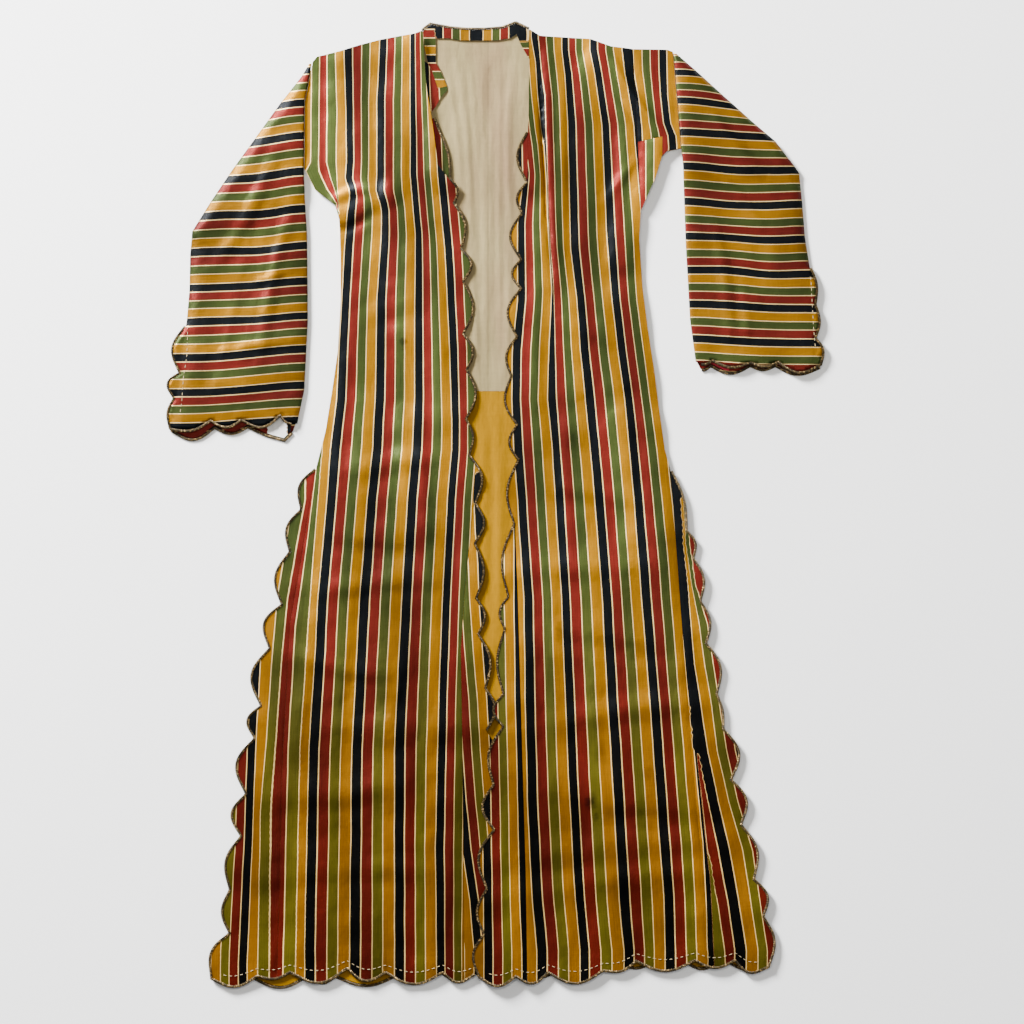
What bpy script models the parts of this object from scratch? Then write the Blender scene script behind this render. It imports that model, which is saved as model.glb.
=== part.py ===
# Striped silk robe with scalloped edges, laid flat on a table with its fronts up.
# Tables are in millimetres: x across the robe from its centre line, y up from the hem.
# The wearer's right side (names ending in _r) is at -x, and the collar is at +y.

import math

import bmesh
import bpy
from mathutils import Vector
from mathutils.geometry import delaunay_2d_cdt

# Driving dimensions
MM = 0.001
CENTRE_X = 0.5          # middle of the reach across, cuff to cuff
CENTRE_Y = 677.4        # middle of the length, collar to hem
CLOTH = 1.5             # satin with its facing
LINING = 1.0
SLEEVE_CLOTH = 1.2
GAP = 0.3               # between pieces that touch
BRAID_WIDTH = 3.2
BRAID_HEIGHT = 2.4
CUFF_BRAID_HEIGHT = 1.9
LINING_Z = CLOTH + GAP
FRONT_Z = LINING_Z + LINING + GAP
HEAD_HEIGHT = 3.0       # folded layers under each sleeve's head
SLEEVE_Z = HEAD_HEIGHT + GAP
HEAD_RAMP = (26.0, 62.0)    # how far past the head the sleeve comes down to the table
SLEEVE_HEIGHT = 4.4     # flattened sleeve, both layers
FOLD_RADIUS = SLEEVE_HEIGHT / 2
FOLD_ARC = FOLD_RADIUS * math.pi / 2
SEAM_CLOSING = 1.6      # how much flatter the sleeve is along its outer seam
SEAM_REACH = 14.0
ROLL_HEIGHT = 5.0       # rolled front edges at the neck
ROLL_REACH = 40.0
LAP_LIFT = 3.0          # left front where it laps over the right one
LAP_X = (37.0, 65.0)
LAP_Y = (432.0, 475.0)
SCALLOP_STEPS = 5
BACK_STEPS = 4
CUFF_LINING_DEPTH = 40.0
SCALLOP_ROUNDNESS = 0.8
PANEL_SPACING = 30.0
SLEEVE_SPACING = 36.0

# Scalloped edges, a row for each notch: x, y, depth of the scallop to the next notch
EDGE_R = [
    (-64, 1133, 8), (-59, 1100, 11), (-49, 1036, 13), (-46, 991, 14), (-46, 917, 11),
    (-41, 867, 13), (-42, 798, 8), (-38, 748, 14), (-29, 680, 13), (-30, 624, 12),
    (-28, 547, 11), (-25, 497, 12), (-15, 421, 13), (-13, 363, 11), (-4, 300, 11),
    (0, 223, 11), (3, 141, 11), (6, 71, 8), (7, 21, 0)]
EDGE_L = [
    (45, 1127, 10), (39, 1086, 16), (38, 1021, 13), (38, 981, 16), (32, 913, 11),
    (24, 858, 13), (32, 790, 12), (34, 741, 13), (28, 651, 13), (20, 549, 10),
    (15, 504, 10), (13, 413, 14), (13, 368, 14), (-1, 286, 16), (0, 224, 17),
    (-10, 141, 12), (-14, 77, 12), (-21, 18, 0)]
HEM_R = [
    (-396, 15, 13), (-333, 20, 7), (-287, 25, 18), (-207, 31, 15), (-153, 25, 17),
    (-73, 25, 13), (-29, 22, 11), (7, 21, 0)]
HEM_L = [
    (-21, 18, 13), (29, 20, 13), (74, 25, 17), (151, 27, 8), (197, 41, 15),
    (280, 42, 11), (336, 42, 13), (382, 32, 0)]
VENT_R = [
    (-251, 727, 13), (-270, 671, 13), (-286, 612, 15), (-297, 538, 17), (-314, 477, 20),
    (-326, 396, 15), (-335, 351, 20), (-347, 273, 17), (-354, 214, 14), (-370, 139, 11),
    (-370, 78, 14), (-396, 15, 0)]
VENT_L = [
    (246, 725, 7), (267, 641, 8), (276, 603, 10), (286, 543, 10), (294, 484, 13),
    (309, 413, 4), (318, 364, 17), (329, 293, 15), (343, 230, 14), (361, 153, 13),
    (374, 102, 12), (382, 32, 0)]
HEM_BACK = [
    (-396, 15, 8), (-343, 18, 17), (-259, 21, 11), (-224, 18, 14), (-136, 20, 8),
    (-77, 24, 11), (-27, 24, 11), (35, 27, 11), (91, 29, 11), (172, 38, 10),
    (224, 41, 8), (263, 41, 15), (318, 46, 11), (382, 32, 0)]
TURN_R = [(-86, 1219, 0), (-80, 1203, 5), (-64, 1133, 0)]
TURN_L = [(46, 1199, 13), (45, 1131, 0)]
SLIT_R = [(-433, 927, 14), (-440, 862, 13), (-448, 827, 6), (-454, 785, 0)]
CUFF_R_UPPER = [(-454, 785, 8), (-398, 797, 10), (-355, 798, 14), (-300, 805, 5), (-277, 792, 0)]
CUFF_R_UNDER = [(-454, 783, 15), (-393, 787, 9), (-346, 788, 2), (-295, 769, 0), (-277, 788, 0)]
SLIT_L = [(441, 1009, 5), (447, 958, 6), (447, 911, 7), (455, 875, 0)]
CUFF_L_UPPER = [(281, 878, 4), (304, 881, 8), (358, 878, 6), (396, 879, 13), (455, 875, 0)]
CUFF_L_UNDER = [(281, 875, 7), (302, 874, 11), (358, 874, 6), (393, 874, 11), (455, 871, 0)]

# Plain edges and seams: x, y
SHOULDER_R = [
    (-101, 1341), (-112, 1337), (-133, 1334), (-161, 1329), (-189, 1322), (-217, 1313),
    (-249, 1305), (-255, 1298)]
SHOULDER_L = [
    (48, 1343), (63, 1334), (88, 1333), (134, 1330), (162, 1320), (193, 1316),
    (241, 1315), (249, 1312)]
ARMHOLE_R = [(-255, 1298), (-266, 1242), (-267, 1149)]
ARMHOLE_L = [(249, 1312), (256, 1232), (260, 1177)]
SIDE_R = [
    (-267, 1149), (-252, 1119), (-224, 1098), (-218, 1077), (-216, 1020), (-216, 965),
    (-220, 895), (-228, 839), (-237, 783), (-251, 727)]
SIDE_L = [
    (260, 1177), (241, 1173), (234, 1166), (224, 1134), (204, 1089), (202, 1049),
    (207, 979), (214, 925), (223, 867), (230, 811), (238, 755), (246, 725)]
ROLL_R = [
    (-101, 1341), (-99, 1312), (-97, 1278), (-95, 1257), (-90, 1229), (-85, 1196),
    (-80, 1154), (-64, 1133)]
ROLL_L = [(48, 1343), (48, 1301), (47, 1259), (47, 1231), (46, 1203), (46, 1165), (45, 1127)]
SEAM_CENTRE_R = [(-29, 680), (-37, 610), (-43, 545), (-48, 475), (-46, 360), (-45, 265), (-43, 25)]
SEAM_CENTRE_L = [(28, 651), (32, 545), (35, 440), (38, 335), (43, 160), (45, 25)]
SEAM_SIDE_R = [(-251, 727), (-269, 615), (-287, 510), (-292, 420), (-297, 335), (-301, 180), (-305, 22)]
SEAM_SIDE_L = [(246, 725), (259, 545), (266, 447), (273, 349), (288, 190), (302, 40)]
SEAM_PANEL_L = [(193, 1316), (197, 1245), (200, 1186), (204, 1089)]
SEAM_GUSSET_L = [(200, 1186), (234, 1193), (234, 1166)]
BAND_OUTER = [
    (-80, 1261), (-88, 1285), (-94, 1296), (-99, 1319), (-101, 1341), (-97, 1345),
    (-90, 1350), (-62, 1345), (-39, 1343), (-14, 1343), (10, 1345), (29, 1352), (48, 1343)]
BAND_INNER = [
    (47, 1303), (36, 1322), (30, 1337), (21, 1331), (1, 1328), (-20, 1328), (-48, 1328),
    (-66, 1331), (-83, 1331), (-83, 1298), (-77, 1287), (-67, 1264)]
NECK_CORNER = [
    (-100, 1300), (-94, 1296), (-88, 1285), (-80, 1261), (-67, 1264), (-67, 1258),
    (-76, 1248), (-83, 1235), (-89, 1228), (-98, 1240)]
LINING_CHANGE = 837     # height of the joint between the linen and the cotton lining

# Sleeves: x of the inner and outer edge at each height y
SLEEVE_R_INNER = [
    (-256.2, 1295), (-266.6, 1242), (-267.6, 1149), (-266, 1105), (-263, 1054), (-262, 937),
    (-267, 839), (-277, 792), (-278, 760)]
SLEEVE_R_OUTER = [
    (-260, 1295), (-270, 1278), (-295, 1246), (-344, 1179), (-395, 1106), (-424, 1060),
    (-427, 1029), (-428, 979), (-433, 927), (-440, 862), (-448, 827), (-454, 785), (-454, 760)]
SLEEVE_L_INNER = [
    (249.7, 1309), (256.4, 1232), (260.4, 1177), (263, 1154), (267, 1042), (273, 937),
    (281, 878), (282, 860)]
SLEEVE_L_OUTER = [
    (254, 1309), (286, 1281), (321, 1249), (360, 1214), (393, 1186), (410, 1163),
    (426, 1142), (430, 1103), (434, 1054), (441, 1009), (447, 911), (455, 875), (455, 860)]
HEAD_R = [(-259, 1289), (-268, 1246), (-270, 1154), (-386, 1110), (-340, 1177), (-296, 1237)]
HEAD_L = [(253, 1301), (262, 1180), (384, 1186), (352, 1214), (320, 1243)]

# Largest folds of the fronts: x and y of both ends, half width, height
FOLDS = [
    (-150, 1112, -214, 1082, 26, 5.0),
    (-226, 1290, -188, 1130, 42, 3.0),
    (-138, 1300, -120, 920, 45, 2.5),
    (-196, 720, -262, 60, 48, 3.0),
    (-128, 780, -160, 50, 42, 2.5),
    (-205, 1040, -185, 760, 34, 2.0),
    (147, 1298, 228, 1182, 34, 4.0),
    (81, 1301, 80, 990, 30, 3.0),
    (128, 1240, 112, 900, 36, 2.2),
    (222, 1150, 176, 1020, 32, 3.5),
    (176, 960, 196, 640, 40, 2.0),
    (222, 640, 305, 60, 48, 3.0),
    (122, 700, 184, 60, 44, 2.6)]

# Colour, roughness and metallic value
MATERIALS = {
    "satin_yellow": ((0.62, 0.34, 0.05), 0.35, 0.0),
    "satin_red": ((0.33, 0.04, 0.03), 0.35, 0.0),
    "satin_green": ((0.11, 0.17, 0.04), 0.35, 0.0),
    "satin_navy": ((0.01, 0.015, 0.03), 0.35, 0.0),
    "linen_cream": ((0.60, 0.52, 0.38), 0.9, 0.0),
    "cotton_yellow": ((0.74, 0.42, 0.01), 0.85, 0.0),
    "cotton_white": ((0.75, 0.74, 0.70), 0.9, 0.0),
    "cotton_pink": ((0.55, 0.08, 0.10), 0.9, 0.0),
    "braid": ((0.20, 0.16, 0.10), 0.45, 0.8),
}


def clear_scene():
    for obj in list(bpy.data.objects):
        bpy.data.objects.remove(obj, do_unlink=True)


def make_material(name):
    colour, roughness, metallic = MATERIALS[name]
    material = bpy.data.materials.new(name)
    material.use_nodes = True
    shader = material.node_tree.nodes["Principled BSDF"]
    shader.inputs["Base Color"].default_value = (*colour, 1.0)
    shader.inputs["Roughness"].default_value = roughness
    shader.inputs["Metallic"].default_value = metallic
    return material


# Curves and outlines

def scalloped(notches, side=1, steps=SCALLOP_STEPS):
    """Points along a scalloped edge. With side 1 the scallops bulge to the right of the run."""
    points = []
    for (x0, y0, depth), (x1, y1, _) in zip(notches, notches[1:]):
        start = Vector((x0, y0))
        chord = Vector((x1 - x0, y1 - y0))
        out = Vector((chord.y, -chord.x)).normalized() * side * depth
        for step in range(steps):
            t = step / steps
            points.append(start + chord * t + out * math.sin(math.pi * t) ** SCALLOP_ROUNDNESS)
    points.append(Vector(notches[-1][:2]))
    return points


def plain(rows):
    return [Vector(row) for row in rows]


def mirrored_run(points):
    return list(reversed(points))


def join_runs(*runs):
    """One closed outline from runs of points, without the ends that they share."""
    loop = []
    for run in runs:
        for point in run:
            if not loop or (point - loop[-1]).length > 0.5:
                loop.append(point)
    while (loop[0] - loop[-1]).length < 0.5:
        loop.pop()
    area = sum(a.x * b.y - b.x * a.y for a, b in zip(loop, loop[1:] + loop[:1]))
    return loop if area > 0 else list(reversed(loop))


def left_normal(a, b):
    run = (b - a).normalized()
    return Vector((-run.y, run.x))


def shifted(points, distance, closed):
    """The same run of points, moved to its left by a distance, with mitred corners."""
    last = len(points) - 1
    moved = []
    for index, point in enumerate(points):
        before = points[index - 1] if closed or index > 0 else None
        after = points[(index + 1) % len(points)] if closed or index < last else None
        normals = []
        if before is not None:
            normals.append(left_normal(before, point))
        if after is not None:
            normals.append(left_normal(point, after))
        bisector = sum(normals, Vector((0, 0))).normalized()
        moved.append(point + bisector * distance / max(bisector.dot(normals[0]), 0.4))
    return moved


def inside(point, loop):
    crossings = False
    for a, b in zip(loop, loop[1:] + loop[:1]):
        if (a.y > point.y) != (b.y > point.y):
            if point.x < a.x + (point.y - a.y) * (b.x - a.x) / (b.y - a.y):
                crossings = not crossings
    return crossings


def distance_to_segment(point, a, b):
    run = b - a
    t = max(0.0, min(1.0, (point - a).dot(run) / run.length_squared))
    return (point - a - run * t).length


def distance_to_run(point, run):
    return min(distance_to_segment(point, a, b) for a, b in zip(run, run[1:]))


def inner_points(loop, spacing):
    """Points on a triangular grid inside an outline, clear of its edge."""
    rows = []
    closed = loop + loop[:1]
    low_x = min(p.x for p in loop)
    high_x = max(p.x for p in loop)
    low_y = min(p.y for p in loop)
    high_y = max(p.y for p in loop)
    row = 0
    y = low_y + spacing / 2
    while y < high_y:
        x = low_x + spacing / (1 if row % 2 else 2)
        while x < high_x:
            point = Vector((x, y))
            if inside(point, loop) and distance_to_run(point, closed) > spacing * 0.55:
                rows.append(point)
            x += spacing
        y += spacing * math.sqrt(3) / 2
        row += 1
    return rows


# Heights, in millimetres above the table

def ease(value, low, high):
    """0 below low, 1 above high, and smooth between them."""
    t = max(0.0, min(1.0, (value - low) / (high - low)))
    return t * t * (3 - 2 * t)


def bump(distance, reach):
    return math.cos(min(distance / reach, 1.0) * math.pi / 2) ** 2


def folds(point):
    height = 0.0
    for x0, y0, x1, y1, reach, rise in FOLDS:
        distance = distance_to_segment(point, Vector((x0, y0)), Vector((x1, y1)))
        height += rise * bump(distance, reach)
    return height


def roll(point, line, low_y):
    near = bump(distance_to_run(point, line), ROLL_REACH)
    return ROLL_HEIGHT * near * ease(point.y, low_y, low_y + 35)


def under_front_r(point):
    return FRONT_Z + folds(point) + roll(point, plain(ROLL_R), 1095)


def under_front_l(point):
    lap = (1 - ease(point.x, *LAP_X)) * (1 - ease(point.y, *LAP_Y))
    return FRONT_Z + folds(point) + roll(point, plain(ROLL_L), 1090) + LAP_LIFT * lap


def under_flat(height):
    return lambda point: height


# Pieces

def triangulated(outline, extra):
    """Mesh of flat triangles inside an outline, through the extra points too."""
    count = len(outline)
    edges = [(i, (i + 1) % count) for i in range(count)]
    points, _, faces, *_ = delaunay_2d_cdt(outline + extra, edges, [], 0, 1e-4, False)
    kept = []
    for face in faces:
        centre = sum((points[i] for i in face), Vector((0, 0))) / len(face)
        if inside(centre, outline):
            kept.append(face)
    return points, kept


def finish_object(name, mesh, material):
    obj = bpy.data.objects.new(name, mesh)
    mesh.materials.append(materials[material])
    collection.objects.link(obj)
    obj.parent = robe
    return obj


def panel(name, loop, under, thickness, material, spacing=None):
    """A flat-cut panel: its outline, the height of its underside and its thickness."""
    outline = shifted(loop, GAP / 2, closed=True)
    extra = inner_points(outline, spacing) if spacing else []
    points, faces = triangulated(outline, extra)
    bm = bmesh.new()
    verts = [bm.verts.new((p.x * MM, p.y * MM, under(p) * MM)) for p in points]
    for face in faces:
        bm.faces.new([verts[i] for i in face])
    raised = bmesh.ops.extrude_face_region(bm, geom=bm.faces[:], use_keep_orig=True)
    top = [item for item in raised["geom"] if isinstance(item, bmesh.types.BMVert)]
    bmesh.ops.translate(bm, verts=top, vec=(0, 0, thickness * MM))
    bmesh.ops.recalc_face_normals(bm, faces=bm.faces)
    mesh = bpy.data.meshes.new(name)
    bm.to_mesh(mesh)
    bm.free()
    return finish_object(name, mesh, material)


def braid(name, run, side, under, height=BRAID_HEIGHT):
    """Braid sewn along an edge, to the left of the run with side 1 and to its right with -1."""
    inner = shifted(run, side * GAP, closed=False)
    outer = shifted(run, side * (GAP + BRAID_WIDTH), closed=False)
    loop = join_runs(inner, list(reversed(outer)))
    return panel(name, loop, under, height, "braid")


def edge_x(rows, y):
    """x of a sleeve's edge at a height, from its table."""
    for (x0, y0), (x1, y1) in zip(rows, rows[1:]):
        if y >= y1:
            return x0 + (x1 - x0) * (y - y0) / (y1 - y0)
    return rows[-1][0]


class Sleeve:
    """A sleeve laid flat: one sheet folded along its inner edge, with its seam along the outer one.

    The sheet's own coordinate runs from the seam of the under layer, below zero, through the fold
    at zero to the seam of the upper layer.
    """

    def __init__(self, inner, outer, head, side, slit_top):
        self.inner = inner
        self.outer = outer
        self.side = side
        self.slit_top = slit_top
        self.head_corner = Vector(max(head, key=lambda row: -row[1] - side * row[0]))
        self.head_end = Vector(max(head, key=lambda row: side * row[0]))

    def across(self, x, y):
        """Distance across one layer, from the fold, of a point at x."""
        return abs(x - edge_x(self.inner, y)) - FOLD_RADIUS + FOLD_ARC

    def base(self, x, y):
        """Height that the sleeve lies at: on its folded head, then down to the table."""
        run = (self.head_end - self.head_corner).normalized()
        down = Vector((run.y, -run.x)) * self.side
        below = (Vector((x, y)) - self.head_corner).dot(down)
        return SLEEVE_Z * (1 - ease(below, *HEAD_RAMP))

    def place(self, across, y):
        """Where a point of the sheet lies on the folded sleeve."""
        reach = abs(across)
        if reach < FOLD_ARC:
            angle = reach / FOLD_RADIUS
            out = FOLD_RADIUS * (1 - math.cos(angle))
            rise = FOLD_RADIUS * math.sin(angle)
        else:
            out = FOLD_RADIUS + reach - FOLD_ARC
            rise = FOLD_RADIUS
        x = edge_x(self.inner, y) + self.side * out
        height = FOLD_RADIUS + math.copysign(rise, across)
        to_seam = abs(edge_x(self.outer, y) - x)
        if across > 0 and y > self.slit_top:
            height -= SEAM_CLOSING * (1 - ease(to_seam, 0, SEAM_REACH))
        return Vector((x, y, self.base(x, y) + height))

    def on_sheet(self, points, layer):
        return [Vector((layer * max(self.across(p.x, p.y), 0.0), p.y)) for p in points]


def sleeve_panel(name, sleeve, slit, cuff_upper, cuff_under, material):
    seam = [Vector((x, y)) for x, y in sleeve.outer if y > sleeve.slit_top]
    under_slit = plain([row[:2] for row in slit])
    upper_slit = scalloped(slit, -sleeve.side)
    upper_cuff = scalloped(cuff_upper)
    under_cuff = scalloped(cuff_under)
    under_run = sleeve.on_sheet(seam + under_slit[:-1], -1)
    upper_run = sleeve.on_sheet(seam + upper_slit[:-1], 1)
    under_edge = sleeve.on_sheet(sorted(under_cuff, key=lambda p: sleeve.side * p.x), -1)
    upper_edge = sleeve.on_sheet(sorted(upper_cuff, key=lambda p: sleeve.side * p.x), 1)
    fold_y = cuff_upper[-1][1] if sleeve.side < 0 else cuff_upper[0][1]
    fold = [Vector((FOLD_ARC * share, fold_y)) for share in (-1, -0.5, 0, 0.5, 1)]
    under_edge = [p for p in under_edge if p.x < -2 * FOLD_ARC]
    upper_edge = [p for p in upper_edge if p.x > 2 * FOLD_ARC]
    loop = join_runs(
        under_run, list(reversed(under_edge)), fold, upper_edge, list(reversed(upper_run)))
    extra = inner_points(loop, SLEEVE_SPACING)
    extra = [p for p in extra if abs(p.x) > FOLD_ARC * 2.5]
    low_y = min(p.y for p in loop) + 22
    y = max(p.y for p in loop) - 22
    while y > low_y:
        for share in (-1, -0.5, 0, 0.5, 1):
            point = Vector((FOLD_ARC * share, y))
            if inside(point, loop) and distance_to_run(point, loop + loop[:1]) > 2:
                extra.append(point)
        y -= 26
    points, faces = triangulated(loop, extra)
    bm = bmesh.new()
    verts = []
    for p in points:
        verts.append(bm.verts.new(sleeve.place(p.x, p.y) * MM))
    for face in faces:
        corners = [verts[i] for i in face]
        bm.faces.new(corners if sleeve.side > 0 else list(reversed(corners)))
    mesh = bpy.data.meshes.new(name)
    bm.to_mesh(mesh)
    bm.free()
    obj = finish_object(name, mesh, material)
    wall = obj.modifiers.new("wall", "SOLIDIFY")
    wall.thickness = SLEEVE_CLOTH * MM
    wall.offset = -1
    wall.use_even_offset = True
    return obj


def build_back():
    hem = scalloped(HEM_BACK, steps=BACK_STEPS)
    outline = [
        plain(SHOULDER_R), plain(ARMHOLE_R), plain(SIDE_R), scalloped(VENT_R, steps=BACK_STEPS),
        hem, mirrored_run(scalloped(VENT_L, -1, BACK_STEPS)), mirrored_run(plain(SIDE_L)),
        mirrored_run(plain(ARMHOLE_L)), mirrored_run(plain(SHOULDER_L)),
        mirrored_run(plain(BAND_OUTER[4:]))]
    loop = join_runs(*outline)
    panel("back", loop, under_flat(0.0), CLOTH, "satin_yellow")
    lining = shifted(loop, 1.5, closed=True)
    upper = cut_at(lining, LINING_CHANGE, keep_above=True)
    lower = cut_at(lining, LINING_CHANGE, keep_above=False)
    panel("back_lining_upper", upper, under_flat(LINING_Z), LINING, "linen_cream")
    panel("back_lining_lower", lower, under_flat(LINING_Z), LINING, "cotton_yellow")
    braid("braid_back", hem, -1, under_flat(GAP))


def cut_at(loop, height, keep_above):
    """The part of an outline above or below a level line that crosses it twice."""
    kept = []
    for a, b in zip(loop, loop[1:] + loop[:1]):
        if (a.y > height) == keep_above:
            kept.append(a)
        if (a.y > height) != (b.y > height):
            t = (height - a.y) / (b.y - a.y)
            kept.append(a + (b - a) * t)
    return kept


def cut_run(points, seam_x, keep_left):
    """The part of a hem on one side of a seam, with its end on the seam."""
    kept = []
    for a, b in zip(points, points[1:] + [None]):
        if (a.x < seam_x) == keep_left:
            kept.append(a)
        if b is not None and (a.x < seam_x) != (b.x < seam_x):
            t = (seam_x - a.x) / (b.x - a.x)
            kept.append(a + (b - a) * t)
    return kept


def build_front_r():
    edge = scalloped(EDGE_R, -1)
    hem = scalloped(HEM_R)
    side_x = SEAM_SIDE_R[-1][0]
    centre_x = SEAM_CENTRE_R[-1][0]
    gore_top = edge.index(min(edge, key=lambda p: (p - Vector(SEAM_CENTRE_R[0])).length))
    middle_hem = cut_run(cut_run(hem, side_x, False), centre_x, True)
    main = join_runs(
        plain(SHOULDER_R), plain(ARMHOLE_R), plain(SIDE_R), plain(SEAM_SIDE_R), middle_hem,
        mirrored_run(plain(SEAM_CENTRE_R)), mirrored_run(edge[:gore_top + 1]),
        mirrored_run(plain(ROLL_R)))
    panel("front_r", main, under_front_r, CLOTH, "satin_red", PANEL_SPACING)
    side_gore = join_runs(
        scalloped(VENT_R), cut_run(hem, side_x, True), mirrored_run(plain(SEAM_SIDE_R)))
    panel("side_gore_r", side_gore, under_front_r, CLOTH, "satin_green", PANEL_SPACING)
    centre_gore = join_runs(
        plain(SEAM_CENTRE_R), cut_run(hem, centre_x, False), mirrored_run(edge[gore_top:]))
    panel("centre_gore_r", centre_gore, under_front_r, CLOTH, "satin_yellow", PANEL_SPACING)
    visible = [p for p in edge if p.y > 362]
    braid("braid_edge_r", visible, 1, under_front_r)
    skirt = scalloped(VENT_R)[:-1] + [p for p in hem if p.x < -28]
    braid("braid_skirt_r", skirt, -1, under_front_r)
    turned = scalloped(TURN_R, -1)
    hidden = [(-75, 1133), (-84, 1150), (-92, 1196), (-94, 1219)]
    panel("front_turn_r", join_runs(turned, plain(hidden)), under_flat(FRONT_Z), CLOTH, "satin_navy")
    braid("braid_turn_r", turned, 1, under_flat(FRONT_Z))


def build_front_l():
    edge = scalloped(EDGE_L)
    hem = scalloped(HEM_L)
    side_x = SEAM_SIDE_L[-1][0]
    centre_x = SEAM_CENTRE_L[-1][0]
    gore_top = edge.index(min(edge, key=lambda p: (p - Vector(SEAM_CENTRE_L[0])).length))
    middle_hem = cut_run(cut_run(hem, side_x, True), centre_x, False)
    shoulder = [row for row in SHOULDER_L if row[0] <= SEAM_PANEL_L[0][0]]
    side = SIDE_L[SIDE_L.index(SEAM_PANEL_L[-1]):]
    main = join_runs(
        plain(ROLL_L), edge[:gore_top + 1], plain(SEAM_CENTRE_L), middle_hem,
        mirrored_run(plain(SEAM_SIDE_L)), mirrored_run(plain(side)),
        mirrored_run(plain(SEAM_PANEL_L)), mirrored_run(plain(shoulder)))
    panel("front_l", main, under_front_l, CLOTH, "satin_red", PANEL_SPACING)
    side_gore = join_runs(
        plain(SEAM_SIDE_L), cut_run(hem, side_x, False), mirrored_run(scalloped(VENT_L, -1)))
    panel("side_gore_l", side_gore, under_front_l, CLOTH, "satin_green", PANEL_SPACING)
    centre_gore = join_runs(
        edge[gore_top:], cut_run(hem, centre_x, True), mirrored_run(plain(SEAM_CENTRE_L)))
    panel("centre_gore_l", centre_gore, under_front_l, CLOTH, "satin_yellow", PANEL_SPACING)
    outer_shoulder = [row for row in SHOULDER_L if row[0] >= SEAM_PANEL_L[0][0]]
    side_panel = join_runs(
        plain(SEAM_PANEL_L[:3]), plain(SEAM_GUSSET_L), mirrored_run(plain(SIDE_L[:3])),
        mirrored_run(plain(ARMHOLE_L)), mirrored_run(plain(outer_shoulder)))
    panel("side_panel_l", side_panel, under_front_l, CLOTH, "satin_yellow", PANEL_SPACING)
    gusset = join_runs(
        plain(SEAM_GUSSET_L), plain(SIDE_L[2:5]), mirrored_run(plain(SEAM_PANEL_L[2:])))
    panel("gusset_l", gusset, under_front_l, CLOTH, "satin_green", PANEL_SPACING)
    around = edge[:-1] + hem[:-1] + mirrored_run(scalloped(VENT_L, -1))
    braid("braid_front_l", around, -1, under_front_l)
    turned = scalloped(TURN_L)
    hidden = [(54, 1135), (55, 1165), (55, 1205)]
    panel("front_turn_l", join_runs(turned, plain(hidden)), under_flat(FRONT_Z), CLOTH, "satin_navy")
    braid("braid_turn_l", turned, -1, under_flat(FRONT_Z))


def build_neck():
    band = join_runs(plain(BAND_OUTER), plain(BAND_INNER))
    panel("neckband", band, under_flat(FRONT_Z), CLOTH, "satin_navy")
    braid("braid_neck", plain(BAND_OUTER[4:]), 1, under_flat(FRONT_Z))
    panel("neck_corner_r", join_runs(plain(NECK_CORNER)), under_flat(FRONT_Z), CLOTH, "satin_green")


def build_sleeve(suffix, inner, outer, head, side, slit, cuff_upper, cuff_under, lining):
    sleeve = Sleeve(inner, outer, head, side, slit[0][1])
    sleeve_panel("sleeve_" + suffix, sleeve, slit, cuff_upper, cuff_under, "satin_red")
    panel("sleeve_head_" + suffix, join_runs(plain(head)), under_flat(0.0), HEAD_HEIGHT, "satin_yellow")

    fold_x = edge_x(inner, slit[-1][1])
    clear = side * fold_x + 2 * FOLD_ARC

    def from_slit(cuff):
        outward_first = sorted(scalloped(cuff), key=lambda p: -side * p.x)
        return [p for p in outward_first if side * p.x > clear]

    upper_edge = scalloped(slit, -side)[:-1] + from_slit(cuff_upper)
    above = SLEEVE_HEIGHT - SLEEVE_CLOTH - GAP
    braid("braid_cuff_" + suffix, upper_edge, side, under_flat(above), CUFF_BRAID_HEIGHT)
    under_edge = from_slit(cuff_under)
    braid("braid_under_" + suffix, under_edge, side, under_flat(GAP), CUFF_BRAID_HEIGHT)

    shown = shifted(under_edge, -side * 2.0, closed=False)
    top = slit[-1][1] + CUFF_LINING_DEPTH
    corners = plain([(shown[-1].x, top), (shown[0].x - side * 8, top)])
    panel("cuff_lining_" + suffix, join_runs(shown, corners),
          under_flat(SLEEVE_CLOTH + GAP), LINING, lining)


def build():
    build_back()
    build_front_r()
    build_front_l()
    build_neck()
    build_sleeve("r", SLEEVE_R_INNER, SLEEVE_R_OUTER, HEAD_R, -1, SLIT_R,
                 CUFF_R_UPPER, CUFF_R_UNDER, "cotton_white")
    build_sleeve("l", SLEEVE_L_INNER, SLEEVE_L_OUTER, HEAD_L, 1, SLIT_L,
                 CUFF_L_UPPER, CUFF_L_UNDER, "cotton_pink")


clear_scene()
materials = {name: make_material(name) for name in MATERIALS}
collection = bpy.data.collections.new("striped_robe")
bpy.context.scene.collection.children.link(collection)
robe = bpy.data.objects.new("robe", None)
robe.location = (-CENTRE_X * MM, -CENTRE_Y * MM, 0.0)
collection.objects.link(robe)
build()
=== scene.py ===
# Looks of a striped silk robe with scalloped, braided edges, laid flat with its fronts up.
# Tables are in millimetres: x across the robe from its centre line, y up from the hem.
# The wearer's right side (names ending in _r) is at -x, and the collar is at +y.

import math

import bpy
import numpy as np
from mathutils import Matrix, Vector
from mathutils.geometry import delaunay_2d_cdt


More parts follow.
